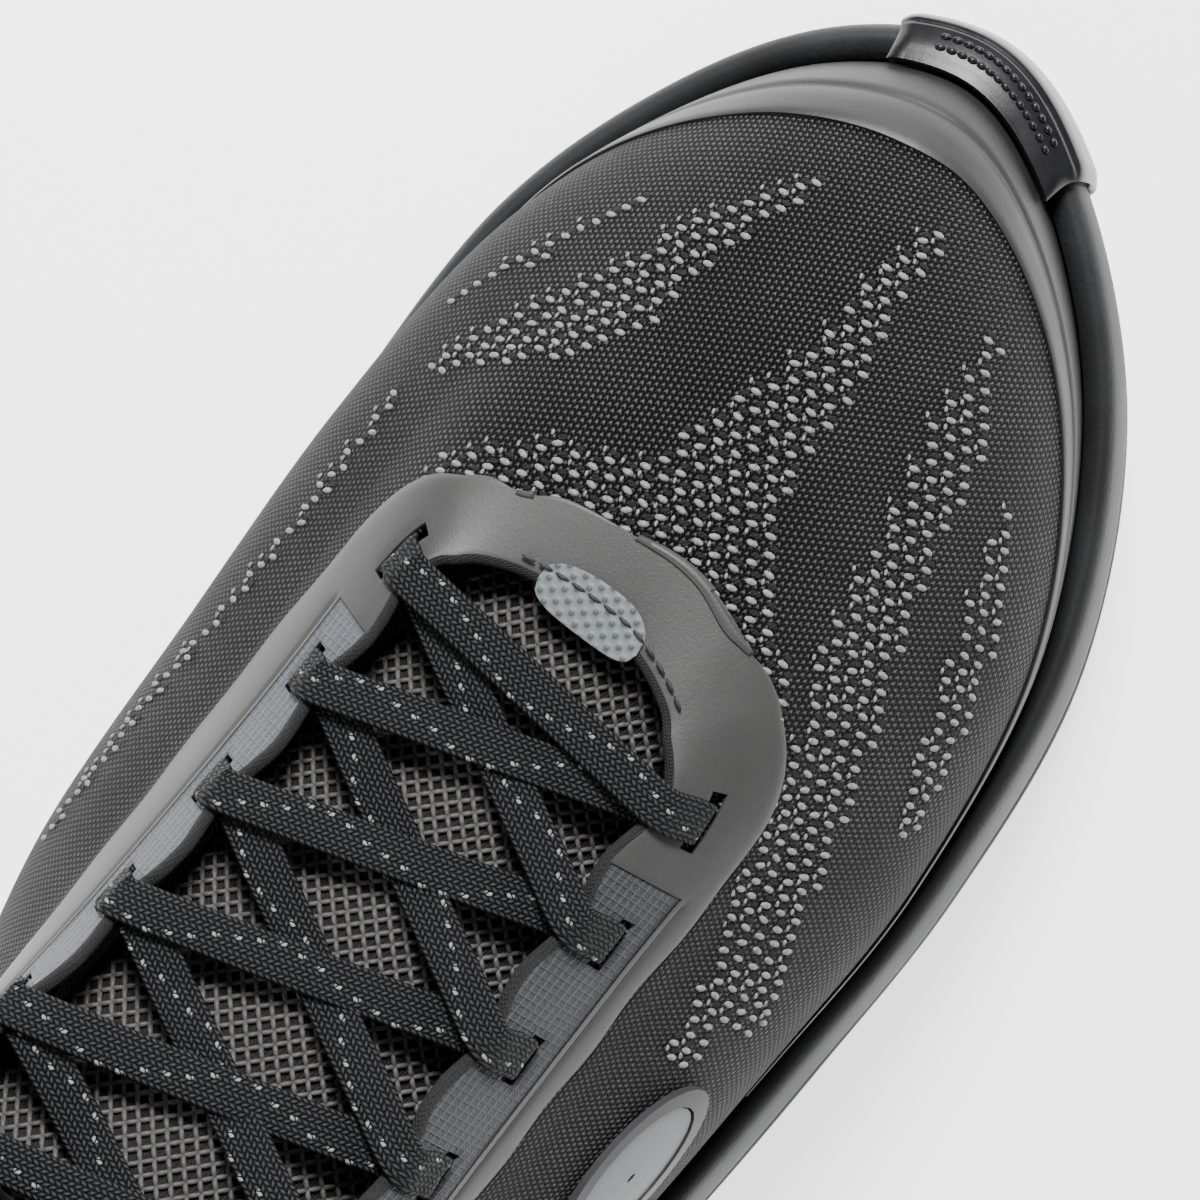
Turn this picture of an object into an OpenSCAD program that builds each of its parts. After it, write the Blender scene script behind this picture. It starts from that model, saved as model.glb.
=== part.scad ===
// Right running shoe: knit upper on a moulded foam sole, laced, built as separate pieces.
// Millimetres. X runs toward the toe, Y toward the inner (medial) side, Z up, ground at Z = 0.

/* [Size] */
// Length over which the sole's heights are spread
sole_length = 296; // [260:1:320]

/* [Sole] */
// Thickness of the rubber outsole under the foam
rubber = 3; // [2:0.5:5]
// Depth of the tread lugs
lug_depth = 1.6; // [1:0.2:3]
// Thickness of the board the upper is stitched to
board = 1.2; // [0.8:0.1:2]
// Thickness of the removable insole
insole_thick = 4; // [3:0.5:6]
// Distance from the sole outline to the foot of the upper
feather = 7; // [5:0.5:9]

/* [Upper] */
// Thickness of the knitted upper
knit = 1.2; // [0.8:0.1:2]
// Thickness of the bonded films
film = 0.5; // [0.3:0.1:1]
// Air left between bonded layers
bond = 0.1; // [0.05:0.05:0.3]

/* [Lacing] */
// Distance between lace slots
pitch = 18.2; // [16:0.2:20]
// Front slot, measured from the heel
first_slot = 187; // [180:1:190]
// How far the outer row of slots sits behind the inner one
slot_skew = 5; // [0:0.5:7]
// Length of a lace slot
slot = 7.2; // [6.5:0.1:8]
// Lace width
lace_w = 6.2; // [5:0.1:8]
// Lace thickness
lace_t = 1; // [0.8:0.1:1.6]

/* [Hidden] */
// Ring of sections from the toe tip along the medial side to the heel and back along the lateral side:
// sole outline x, y; throat or collar edge x, y, z; turn of the section in degrees; bulge
RING = [
  [292, 5, 197, 0, 77, 88, 2],
  [283, 26, 196.5, 8.5, 77, 86, 2.5],
  [263, 42, 195, 14, 77.5, 80, 3],
  [234, 53, 192.5, 18, 78.5, 74, 4],
  [198, 54.5, 187, 21, 80, 68, 6],
  [162, 52.5, 160, 22, 87.5, 62, 7],
  [128, 50, 127, 24, 100.5, 58, 7],
  [98, 45, 100, 28, 113, 52, 4],
  [70, 43, 80, 33, 104, 45, 4],
  [42, 42, 52, 34, 87, 40, 4],
  [14, 29, 20, 25, 95, 40, 4],
  [0, 0, 6, 0, 106, 40, 4],
  [14, -29, 20, -25, 94, 40, 4],
  [42, -43, 52, -34, 84, 40, 4],
  [70, -45, 80, -33, 103, 45, 4],
  [98, -49, 100, -28, 112, 52, 4],
  [128, -53, 127, -24, 99.5, 58, 5],
  [160, -55.5, 160, -22, 86.5, 62, 5],
  [192, -57, 183.5, -21.5, 79.5, 68, 5],
  [228.5, -53, 190.5, -17.5, 78, 74, 4],
  [260.5, -38, 194, -13, 77.5, 80, 3],
  [283, -16, 196.5, -6.5, 77, 86, 2.5]
];
// Middle of the shoe, pull tab and toe bumper included
mid_x = 146.216;
mid_y = -1.219;
rows = len(RING);
heel_row = 11;
// Heights along the shoe at equal steps from heel to toe
GROUND = [13, 0.8, 0, 0, 0, 0, 1.6, 9, 24];
RIM    = [48, 42, 39, 37, 34, 32, 32, 35, 42];
BED    = [33, 32.5, 31, 28.5, 26, 24.5, 25, 28.5, 35];
// Tongue centre line at equal steps from its stitched front to its top: x, z, half width, crown
TONGUE = [
  [208,  71, 12,  2.4],
  [188,  75.2, 18.5,  5.4],
  [168,  81.6, 22.5,  7.6],
  [148,  88.8, 23,   8],
  [128,  97,   23.4, 8.2],
  [108, 106.8, 24.2, 8.6],
  [ 88, 118.4, 26,   9],
  [ 70, 130,   25.5, 9.4]
];
slots = 6;
slot_gap = 1.1;
// Distance in from the throat edge to the slots and to the outer edge of each window, medial then lateral
slot_in = [5.5, 8];
window_in = [8.5, 12.3];
// The same for the outer edge of the throat film, by place round the shoe
FILM_IN = [[-8, 17], [-5, 16.5], [-4, 16.5], [-3, 16], [-2, 14], [-1, 13], [0, 12.4], [1, 12], [2, 12], [3, 12.5],
  [4, 15], [5, 18.5], [8, 18.5]];

function cr(a, b, c, d, f) =
  0.5 * (2 * b + (c - a) * f + (2 * a - 5 * b + 4 * c - d) * f * f + (3 * b - a - 3 * c + d) * f * f * f);
function wrap(i, n) = ((i % n) + n) % n;
function row(t) = let (i = floor(t), f = t - i)
  cr(RING[wrap(i - 1, rows)], RING[wrap(i, rows)], RING[wrap(i + 1, rows)], RING[wrap(i + 2, rows)], f);
function along(table, s) = let (n = len(table) - 1, q = min(max(s, 0), 0.99999) * n, i = floor(q))
  cr(table[max(i - 1, 0)], table[i], table[i + 1], table[min(i + 2, n)], q - i);
function ground(x) = max(along(GROUND, x / sole_length) - 0.2, 0);
function rim(x) = along(RIM, x / sole_length);
function bed(x) = along(BED, x / sole_length);
function unit(v) = v / norm(v);
function mix(a, b, f) = a + (b - a) * f;
function ease(f) = let (g = min(max(f, 0), 1)) g * g * (3 - 2 * g);

// Sole outline moved inward by a distance
function outline(t) = let (r = row(t)) [r[0], r[1]];
function outward(t) = let (d = outline(t + 0.02) - outline(t - 0.02)) unit([d[1], -d[0]]);
function inset(t, d) = outline(t) - outward(t) * d;
function inset3(t, d, z) = let (p = inset(t, d)) [p[0], p[1], z];

// Upper surface: t round the shoe, v from the foot of the upper (0) to the throat or collar edge (1)
function upper0(t, v) =
  let (r = row(t), b = inset(t, feather), zb = bed(b[0]), th = r[5], a = v * th,
       h = (1 - cos(a)) / (1 - cos(th)), g = sin(a) / sin(th),
       o = outward(t) * r[6] * sin(180 * min(max(v * 1.6, 0), 1)))
  [mix(b[0], r[2], h) + o[0], mix(b[1], r[3], h) + o[1], mix(zb, r[4], g)];
function upper_normal(t, v) =
  let (e = 0.02, k = min(v, 0.98))
  unit(cross(upper0(t + 0.05, k) - upper0(t - 0.05, k), upper0(t, k + e) - upper0(t, k - e)));
function upper(t, v, d) = upper0(t, v) + upper_normal(t, v) * d;
// Signed place round the shoe, and how far it is toward the medial side from 0 to 1
function signed(t) = t - rows * floor(t / rows + 0.5);
function medial(t) = ease(1.1 * sin(signed(t) * 180 / heel_row) + 0.5);
function slot_d(t) = mix(slot_in[1], slot_in[0], medial(t));
// Part of the way up the upper at a distance in from its top edge
function v_in(t, d) = 1 - 0.1 * d / norm(upper0(t, 1) - upper0(t, 0.9));
function window_d(t) = mix(window_in[1], window_in[0], medial(t));
function film_low(t) = v_in(t, lookup(signed(t), FILM_IN) + 0.9 * cos(360 * (row(t)[2] - first_slot) / pitch));
// Part of the way up the upper at which it reaches a height
function v_at(t, z) = let (r = row(t), b = inset(t, feather), zb = bed(b[0]))
  asin(min((z - zb) / (r[4] - zb) * sin(r[5]), 1)) / r[5];
// Place round the shoe where the throat edge is at x
function find_t(x, a, b, n) = n == 0 ? (a + b) / 2 : let (m = (a + b) / 2)
  ((row(m)[2] > x) == (row(a)[2] > x)) ? find_t(x, m, b, n - 1) : find_t(x, a, m, n - 1);
function medial_t(x) = find_t(x, 1, 8, 16);
function lateral_t(x) = find_t(x, 14, 21, 16);
function slot_x(i, side) = first_slot - pitch * i - (side < 0 ? slot_skew : 0);
function side_t(x, side) = side > 0 ? medial_t(x) : lateral_t(x);

// Tongue surface: s from the stitched front (0) to the top (1), w across from -1 to 1
function tongue0(s, w) = let (c = along(TONGUE, s)) [c[0], w * c[2], c[1] - c[3] * w * w];
function tongue_normal(s, w) = let (e = 0.01, k = min(max(s, e), 1 - e))
  unit(cross(tongue0(k, w + e) - tongue0(k, w - e), tongue0(k + e, w) - tongue0(k - e, w)));
function tongue(s, w, d) = tongue0(s, w) + tongue_normal(s, w) * d;
function tongue_pad(s) = 0.8 + 3.8 * ease((s - 0.15) / 0.5);

// Section lines round the shoe
MED = [for (i = [0:slots - 1]) for (d = [slot / 2, -slot / 2, -pitch / 2]) medial_t(slot_x(i, 1) + d)];
LAT = [for (i = [slots - 1:-1:0]) for (d = [-pitch / 2, -slot / 2, slot / 2]) lateral_t(slot_x(i, -1) + d)];
HEEL = [8.1, 8.5, 9, 9.5, 10, 10.35, 10.7];
TOE = [0.4, 0.8, 1.2, 1.6, 2, 2.4, 2.9];
ALL_T = concat([0], TOE, MED, HEEL, [heel_row],
  [for (i = [len(HEEL) - 1:-1:0]) rows - HEEL[i]], LAT, [for (i = [len(TOE) - 1:-1:0]) rows - TOE[i]]);
function near_slot(t) = let (r = row(t)) min([for (i = [0:slots - 1]) abs(r[2] - slot_x(i, r[3]))]) < slot / 4;

// Closed skin between two point grids; keep[i][j] says which cells exist; loop joins the last row to the first
module skin(outer, inner, keep, loop = false) {
  n = len(outer);
  m = len(outer[0]);
  k = n * m;
  cells = loop ? n : n - 1;
  function at(i, j) = (i % n) * m + j;
  function on(i, j) = j < 0 || j >= m - 1 ? false
    : loop ? keep[wrap(i, n)][j] : i < 0 || i >= cells ? false : keep[i][j];
  faces = [for (i = [0:cells - 1]) for (j = [0:m - 2]) if (on(i, j))
    let (a = at(i, j), b = at(i + 1, j), c = at(i + 1, j + 1), d = at(i, j + 1))
    each concat(
      [[a, c, b], [a, d, c], [a + k, b + k, c + k], [a + k, c + k, d + k]],
      on(i - 1, j) ? [] : [[a, a + k, d + k], [a, d + k, d]],
      on(i + 1, j) ? [] : [[b, c, c + k], [b, c + k, b + k]],
      on(i, j - 1) ? [] : [[a, b, b + k], [a, b + k, a + k]],
      on(i, j + 1) ? [] : [[d, d + k, c + k], [d, c + k, c]])];
  polyhedron(concat([for (r = outer) each r], [for (r = inner) each r]), faces, convexity = 10);
}
function all_on(n, m) = [for (i = [0:n - 1]) [for (j = [0:m - 1]) true]];

// Skin on the upper between the lines ts, with edge functions low and high and a number of steps up
module on_upper(ts, low, high, steps, d0, d1) {
  function v(i, j) = mix(low[i], high[i], j / steps);
  skin([for (i = [0:len(ts) - 1]) [for (j = [0:steps]) upper(ts[i], v(i, j), d1)]],
       [for (i = [0:len(ts) - 1]) [for (j = [0:steps]) upper(ts[i], v(i, j), d0)]],
       all_on(len(ts), steps));
}

// Body made of rings one above another, closed across at both ends
module rings(stack) {
  n = len(stack[0]);
  k = len(stack);
  half = floor(n / 2);
  side = [for (r = [0:k - 2]) for (i = [0:n - 1])
    let (a = r * n + i, b = r * n + (i + 1) % n, c = a + n, d = b + n) each [[a, b, d], [a, d, c]]];
  function pair(i) = (n - i) % n;
  low = [for (i = [0:half - 1]) let (a = i, b = i + 1, c = pair(i + 1), d = pair(i))
    each concat(i == half - 1 ? [] : [[a, c, b]], i == 0 ? [] : [[a, d, c]])];
  top = (k - 1) * n;
  high = [for (f = low) [f[2] + top, f[1] + top, f[0] + top]];
  polyhedron(concat([for (r = stack) each r]), [for (f = concat(side, low, high)) [f[2], f[1], f[0]]],
    convexity = 10);
}
SOLE_T = [for (i = [0:2 * rows - 1]) i / 2];
function sole_ring(d, z) = [for (t = SOLE_T) let (p = inset(t, d)) [p[0], p[1], z(p[0])]];

// Flat band swept through points with a width direction given at each
module band(path, sides, width, thick, sub = 3) {
  n = len(path);
  q = [for (i = [0:n - 2]) for (f = [0:sub - 1]) i + f / sub];
  ts = concat(q, [n - 1]);
  function pick(a, i) = a[min(max(i, 0), n - 1)];
  function on(a, t) = let (i = min(floor(t), n - 2)) cr(pick(a, i - 1), pick(a, i), pick(a, i + 1), pick(a, i + 2), t - i);
  P = [for (t = ts) on(path, t)];
  m = len(P);
  pts = [for (i = [0:m - 1])
    let (d = unit(P[min(i + 1, m - 1)] - P[max(i - 1, 0)]), s0 = on(sides, ts[i]),
         s = unit(s0 - d * (s0 * d)), u = cross(d, s))
    each [P[i] + s * width / 2 + u * thick / 2, P[i] - s * width / 2 + u * thick / 2,
          P[i] - s * width / 2 - u * thick / 2, P[i] + s * width / 2 - u * thick / 2]];
  wall = [for (i = [0:m - 2]) for (j = [0:3])
    let (a = 4 * i + j, b = 4 * i + (j + 1) % 4) each [[a, b, b + 4], [a, b + 4, a + 4]]];
  e = 4 * (m - 1);
  polyhedron(pts, [for (f = concat(wall, [[0, 2, 1], [0, 3, 2], [e, e + 1, e + 2], [e, e + 2, e + 3]]))
    [f[2], f[1], f[0]]], convexity = 10);
}

module place() translate([-mid_x, -mid_y, 0]) children();

// Rubber pad under the sole between two lengths and two fractions across, with cut grooves
module pad(xs, w0, w1, cols) {
  function edge(x, side) = let (t = side > 0 ? find_o(x, 0, heel_row, 16) : find_o(x, heel_row, rows, 16)) inset(t, 3.2)[1];
  function p(x, w, z) = [x, mix(edge(x, -1), edge(x, 1), w), ground(x) + z];
  n = len(xs);
  ws = [for (j = [0:cols]) mix(w0, w1, j / cols)];
  skin([for (x = xs) [for (w = ws) p(x, w, rubber)]], [for (x = xs) [for (w = ws) p(x, w, lug_depth)]],
    all_on(n, cols));
  for (i = [0:n - 2]) for (j = [0:cols - 1])
    let (a = mix(xs[i], xs[i + 1], 0.12), b = mix(xs[i], xs[i + 1], 0.88),
         c = mix(ws[j], ws[j + 1], 0.1), d = mix(ws[j], ws[j + 1], 0.9))
    skin([for (x = [a, b]) [for (w = [c, d]) p(x, w, lug_depth + 0.4)]],
         [for (x = [a, b]) [for (w = [c, d]) p(x, w, 0)]], all_on(2, 1));
}
function find_o(x, a, b, n) = n == 0 ? (a + b) / 2 : let (m = (a + b) / 2)
  ((outline(m)[0] > x) == (outline(a)[0] > x)) ? find_o(x, m, b, n - 1) : find_o(x, a, m, n - 1);

module outsole_forefoot() color("#1b1b1d") place()
  pad([for (i = [0:9]) 178 + i * 11.4], 0.02, 0.98, 6);
module outsole_heel_lateral() color("#1b1b1d") place()
  pad([for (i = [0:8]) 12 + i * 11.5], 0.04, 0.4, 2);
module outsole_heel_medial() color("#1b1b1d") place()
  pad([for (i = [0:7]) 12 + i * 11.5], 0.6, 0.96, 2);

module midsole() color("#232427") place()
  rings([
    sole_ring(10, function(x) ground(x) + rubber + 0.4),
    sole_ring(2.6, function(x) ground(x) + rubber + 0.4),
    sole_ring(0.5, function(x) mix(ground(x) + rubber, rim(x), 0.18)),
    sole_ring(0, function(x) mix(ground(x) + rubber, rim(x), 0.45)),
    sole_ring(0.5, function(x) mix(ground(x) + rubber, rim(x), 0.75)),
    sole_ring(1.6, function(x) rim(x) - 0.8),
    sole_ring(2.6, function(x) rim(x)),
    [for (t = SOLE_T) let (p = inset(t, 3)) upper(t, v_at(t, rim(p[0]) - 1), film + bond + 0.4)],
    [for (t = SOLE_T) upper(t, 0.04, film + bond + 0.2)],
    sole_ring(6.4, function(x) bed(x) - 0.2),
    sole_ring(6.6, function(x) bed(x) - board - 0.2)
  ]);

module strobel_board() color("#6d6a60") place()
  rings([sole_ring(7.2, function(x) bed(x) - board - 0.1), sole_ring(7.2, function(x) bed(x) - 0.1)]);

module insole() color("#2c2e31") place()
  rings([sole_ring(9.2, function(x) bed(x)), sole_ring(8.8, function(x) bed(x) + insole_thick - 0.8),
    sole_ring(10.4, function(x) bed(x) + insole_thick)]);

function slot_lines(t) = [v_in(t, slot_d(t) + slot_gap), v_in(t, slot_d(t) - slot_gap), v_in(t, 1.2)];
module knit_upper() color("#2e2f31") place() {
  low = [0, 0.06, 0.14, 0.24, 0.36, 0.48, 0.6, 0.7, 0.78, 0.84];
  vs = [for (t = ALL_T) concat(low, slot_lines(t))];
  n = len(ALL_T);
  keep = [for (i = [0:n - 1]) [for (j = [0:len(low) + 1])
    !(j == len(low) && near_slot((ALL_T[i] + (i == n - 1 ? rows : ALL_T[i + 1])) / 2))]];
  skin([for (i = [0:n - 1]) [for (v = vs[i]) upper(ALL_T[i], v, 0)]],
    [for (i = [0:n - 1]) [for (v = vs[i]) upper(ALL_T[i], v, -knit)]], keep, true);
}

// Smooth film round the toe: sections from the lateral side round the tip to the medial side
GUARD = [[-5.2, 0.12], [-4.6, 0.2], [-4, 0.3], [-3.4, 0.36], [-2.8, 0.4], [-2.2, 0.42], [-1.6, 0.42], [-1, 0.41],
  [-0.5, 0.4], [0, 0.39], [0.5, 0.38], [1, 0.36], [1.5, 0.33], [2, 0.29], [2.5, 0.24], [3, 0.17], [3.4, 0.1]];
module toe_guard() color("#3a3a3c") place()
  on_upper([for (g = GUARD) g[0] + rows], [for (g = GUARD) 0.05], [for (g = GUARD) g[1]], 5, bond, bond + film);

STRIP = [for (i = [0:9]) 3.6 + i * 0.34];
module medial_strip() color("#333436") place()
  on_upper(STRIP, [for (t = STRIP) 0.1], [for (t = STRIP) 0.2], 1, bond, bond + film);

module toe_puff() color("#4a4640") place() {
  ts = [for (i = [0:12]) rows - 2.4 + i * 0.4];
  on_upper(ts, [for (t = ts) 0.08], [for (t = ts) 0.5], 5, -knit - 1.5, -knit - 0.6);
}

// Film round the throat; the windows are the areas it leaves open beside the slots
module eyestay_overlay() {
  ts = concat(LAT, [for (i = [len(TOE) - 1:-1:0]) rows - TOE[i]], [rows],
    [for (t = concat(TOE, MED)) rows + t]);
  n = len(ts);
  function front(i) = i >= len(LAT) - 3 && i < n - len(MED) + 3;
  vs = [for (t = ts) concat([film_low(t), v_in(t, window_d(t))], slot_lines(t))];
  keep = [for (i = [0:n - 2]) [true, for (j = [1:3]) front(i) && front(i + 1)
    && !(j == 2 && near_slot((ts[i] + ts[i + 1]) / 2))]];
  color("#505052") place()
    skin([for (i = [0:n - 1]) [for (v = vs[i]) upper(ts[i], v, bond + film)]],
      [for (i = [0:n - 1]) [for (v = vs[i]) upper(ts[i], v, bond)]], keep);
}

// Thin ripstop panel in a window, cut for the slots
module window(ts) {
  n = len(ts);
  vs = [for (t = ts) concat([v_in(t, window_d(t) - 0.2)], slot_lines(t))];
  keep = [for (i = [0:n - 2]) [for (j = [0:2]) !(j == 1 && near_slot((ts[i] + ts[i + 1]) / 2))]];
  skin([for (i = [0:n - 1]) [for (v = vs[i]) upper(ts[i], v, bond + 0.3)]],
    [for (i = [0:n - 1]) [for (v = vs[i]) upper(ts[i], v, bond)]], keep);
}
module window_medial() color("#8c959d") place()
  window([for (i = [2:len(MED) - 1]) MED[i] + (i == 2 ? 0.03 : 0)]);
module window_lateral() color("#6b747c") place()
  window([for (i = [0:len(LAT) - 3]) LAT[i] - (i == len(LAT) - 3 ? 0.03 : 0)]);

HEEL_T = concat([for (t = [8.1, 8.5, 9, 9.5, 10, 10.35, 10.7, 11]) t], [for (t = [11.3, 11.65, 12, 12.5, 13, 13.5, 13.9]) t]);
module heel_overlay() color("#2f3033") place()
  on_upper(HEEL_T, [for (t = HEEL_T) 0.18], [for (t = HEEL_T) 0.36 + 0.2 * sin((t - 8.1) / 5.8 * 180)], 4, bond, bond + film);
module heel_counter() color("#57544d") place()
  on_upper(HEEL_T, [for (t = HEEL_T) 0.07], [for (t = HEEL_T) 0.55], 4, -knit - bond - 1.6, -knit - bond);

COLLAR_T = concat([MED[17]], [for (t = HEEL) t], [heel_row], [for (i = [6:-1:0]) rows - HEEL[i]],
  [LAT[0]]);
function collar_pad(t, v) = 0.9 + 6.5 * sin(180 * min(max((v - 0.56) / 0.42, 0.08), 0.92))
  * ease((3.5 - abs(t - heel_row)) / 1.6);
module collar_foam() color("#b9b3a3") place() {
  vs = [0.58, 0.66, 0.74, 0.82, 0.9, 0.97];
  skin([for (t = COLLAR_T) [for (v = vs) upper(t, v, -knit - bond)]],
    [for (t = COLLAR_T) [for (v = vs) upper(t, v, -knit - bond - collar_pad(t, v))]], all_on(len(COLLAR_T), 5));
}
module heel_lining() {
  vs = [0.06, 0.3, 0.54, 0.58, 0.66, 0.74, 0.82, 0.9, 0.97];
  function d(t, v) = -knit - bond * 2 - (v < 0.56 ? 1.6 : collar_pad(t, v));
  color("#3c3e41") place() skin([for (t = COLLAR_T) [for (v = vs) upper(t, v, d(t, v))]],
    [for (t = COLLAR_T) [for (v = vs) upper(t, v, d(t, v) - 0.9)]], all_on(len(COLLAR_T), 8));
}

// Rubber wrap-up over the toe tip, outside the foam and the foot of the toe guard
module toe_bumper() {
  ts = [for (i = [0:10]) rows - 0.95 + i * 0.16];
  function p(t, k, d) =
    k == 0 ? inset3(t, 2.6 - d, ground(inset(t, 2.6)[0]) + rubber + 0.3)
    : k == 1 ? inset3(t, 0.5 - d, mix(ground(outline(t)[0]) + rubber, rim(outline(t)[0]), 0.18))
    : k == 2 ? inset3(t, -d, mix(ground(outline(t)[0]) + rubber, rim(outline(t)[0]), 0.45))
    : k == 3 ? inset3(t, 0.5 - d, mix(ground(outline(t)[0]) + rubber, rim(outline(t)[0]), 0.75))
    : k == 4 ? inset3(t, 1.6 - d, rim(outline(t)[0]) - 0.8 + d * 0.6)
    : k == 5 ? inset3(t, 3.4 - d * 0.7, rim(outline(t)[0]) + 0.4 + d)
    : upper(t, v_at(t, rim(outline(t)[0]) + 3.4), film + bond + 0.3 + d);
  color("#111113") place() skin([for (t = ts) [for (k = [0:6]) p(t, k, k == 0 || k == 6 ? 1.4 : 2)]],
    [for (t = ts) [for (k = [0:6]) p(t, k, 0.3)]], all_on(11, 6));
}

TS = [for (i = [0:14]) i / 14];
WS = [-1, -0.8, -0.5, -0.2, 0.2, 0.5, 0.8, 1];
module on_tongue(ss, ws, d0, d1) {
  skin([for (s = ss) [for (w = ws) tongue(s, -w, d1(s))]], [for (s = ss) [for (w = ws) tongue(s, -w, d0(s))]],
    all_on(len(ss), len(ws) - 1));
}
module tongue_mesh() color("#4b4740") place()
  on_tongue(TS, WS, function(s) -0.9, function(s) 0);
module tongue_foam() color("#b9b3a3") place()
  on_tongue([for (s = TS) if (s > 0.1) s], [for (w = WS) w * 0.95], function(s) -1 - tongue_pad(s), function(s) -1);
module tongue_lining() color("#3c3e41") place()
  on_tongue(TS, WS, function(s) -2 - tongue_pad(s), function(s) -1.1 - tongue_pad(s));
module tongue_top_panel() color("#3a3a3c") place()
  on_tongue([for (i = [0:4]) 0.8 + i * 0.05], [for (w = WS) w * 0.96], function(s) 0.1, function(s) 0.8);

// Light dotted reinforcement on the front edge of the throat
TAB_T = [for (i = [0:10]) rows - 1.3 + i * 0.23];
function tab_reach(t) = sqrt(max(0, 1 - pow((t - rows + 0.15) / 1.16, 2)));
module throat_tab() color("#b9c0c3") place()
  on_upper(TAB_T, [for (t = TAB_T) v_in(t, 0.8 + 4 * tab_reach(t))], [for (t = TAB_T) v_in(t, 0.5 - 3.4 * tab_reach(t))],
    4, film + bond * 2, film + bond * 2 + 0.5);

// Lace paths: each run rises through a slot's opening, passes under the throat edge and crosses to the next slot
function edge_dir(x, side) = unit(upper0(side_t(x + 2, side), 0.92) - upper0(side_t(x - 2, side), 0.92));
function at(i, side, in, d) = let (t = side_t(slot_x(i, side), side)) upper(t, v_in(t, in), d);
function find_s(x, a, b, n) = n == 0 ? (a + b) / 2 : let (m = (a + b) / 2)
  (along(TONGUE, m)[0] > x) ? find_s(x, m, b, n - 1) : find_s(x, a, m, n - 1);
function lace_under(i, side) = let (e = edge_dir(slot_x(i, side), side) * 0.15, w = slot_d(side_t(slot_x(i, side), side)))
  [at(i, side, w + 0.35, -2.2) + e, at(i, side, w - 1.9, -2.15) + e, at(i, side, 2.2, -2.1),
   at(i, side, 0, -2.1) + [0, -side * 1, 0.1]];
function lace_over(i, side) = let (w = slot_d(side_t(slot_x(i, side), side)))
  [at(i, side, 1, 1.3), at(i, side, w - 2.5, 1.35), at(i, side, w - 0.55, 1.05), at(i, side, w, 0),
   at(i, side, w, -2.2)];
// Points over the tongue between two places, with a rise in the middle
function span(a, b, lift) = [for (f = [0.2, 0.5, 0.8]) let (x = mix(a[0], b[0], f), y = mix(a[1], b[1], f),
  c = along(TONGUE, find_s(x, 0, 1, 14)), w = y / c[2])
  [x, y, max(c[1] - c[3] * w * w, mix(a[2], b[2], f)) + 1 + 1.9 * ease((110 - x) / 8) + lift * (f == 0.5 ? 1 : 0.5)]];
function cross_dir(a, b) = let (d = b - a) unit([abs(d[1]), -sign(d[1]) * d[0], -0.35 * abs(d[1])]);
KNOT = along(TONGUE, 0.86);
KNOT_AT = [KNOT[0], 0, KNOT[1] + 5.5];
module lace_run(i, side) {
  u = lace_under(i, side);
  o = lace_over(i + 1, -side);
  m = span(u[3], o[0], side < 0 ? 1.7 : 0);
  e0 = edge_dir(slot_x(i, side), side);
  e1 = edge_dir(slot_x(i + 1, -side), -side);
  c = cross_dir(u[3], o[0]);
  band(concat(u, m, o), [e0, e0, e0, unit(e0 + c * 0.4), c, c, c, unit(e1 + c * 0.4), e1, e1, e1, e1], lace_w, lace_t);
}
module lace_crossings() color("#26292b") place() {
  a = lace_over(0, -1);
  b = lace_over(0, 1);
  m = span(a[0], b[0], 0.2);
  band([a[4], a[3], a[2], a[1], a[0], m[0], m[1], m[2], b[0], b[1], b[2], b[3], b[4]],
    let (e = edge_dir(slot_x(0, -1), -1), f = edge_dir(slot_x(0, 1), 1), c = [1, 0, -0.25])
    [e, e, e, e, unit(e + c), c, c, c, unit(f + c), f, f, f, f], lace_w, lace_t);
  for (i = [0:slots - 2]) for (side = [-1, 1]) lace_run(i, side);
  for (side = [-1, 1]) {
    u = lace_under(slots - 1, side);
    e = edge_dir(slot_x(slots - 1, side), side);
    k = KNOT_AT + [2, side * 5, -0.5];
    band(concat(u, [mix(u[3], k, 0.35) + [0, 0, 3.2], mix(u[3], k, 0.7) + [0, 0, 1.2], k, KNOT_AT + [1, side * 2, 0]]),
      [e, e, e, e, [0.9, 0, -0.4], [0.8, 0, -0.5], [0.8, 0, -0.5], [0.8, 0, -0.5]], lace_w, lace_t);
  }
}

module lace_bow() color("#26292b") place() {
  translate(KNOT_AT) rotate([90, 0, 0])
    hull() rotate_extrude($fn = 20) polygon([for (a = [-90:18:90]) [3.9 * cos(a), 6.4 * sin(a)]]);
  for (side = [-1, 1]) {
    k = KNOT_AT;
    loop = [k + [0, side * 4, 0.5], k + [6, side * 16, 2.5], [k[0] + 15, side * 30, k[2] - 3], [k[0] + 20, side * 41, k[2] - 17],
      [k[0] + 17, side * 46, k[2] - 33], [k[0] + 11, side * 48.5, k[2] - 39], [k[0] + 4, side * 47, k[2] - 32],
      [k[0], side * 39, k[2] - 15], [k[0] - 1, side * 20, k[2]], k + [-1, side * 4, 0]];
    band(loop, [for (i = [0:9]) i < 2 || i > 7 ? [0.2, 0.2 * side, 0.95] : [0, 0.85 * side, 0.5]], lace_w, lace_t, 3);
  }
}
function end_path(side) = let (k = KNOT_AT)
  [k + [-3, side * 6, 1.4], k + [-8, side * 18, 4], [k[0] - 16, side * 34, k[2] - 11], [k[0] - 20, side * 44, k[2] - 34],
   [k[0] - 20, side * 47, k[2] - 52], [k[0] - 16, side * 49, k[2] - 66]];
function end_dirs() = [for (i = [0:5]) i < 3 ? [0.9, 0, 0.4] : [1, 0, 0.1]];
module lace_end_left() color("#26292b") place() band(end_path(1), end_dirs(), lace_w, lace_t, 4);
module lace_end_right() color("#26292b") place() band(end_path(-1), end_dirs(), lace_w, lace_t, 4);
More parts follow.
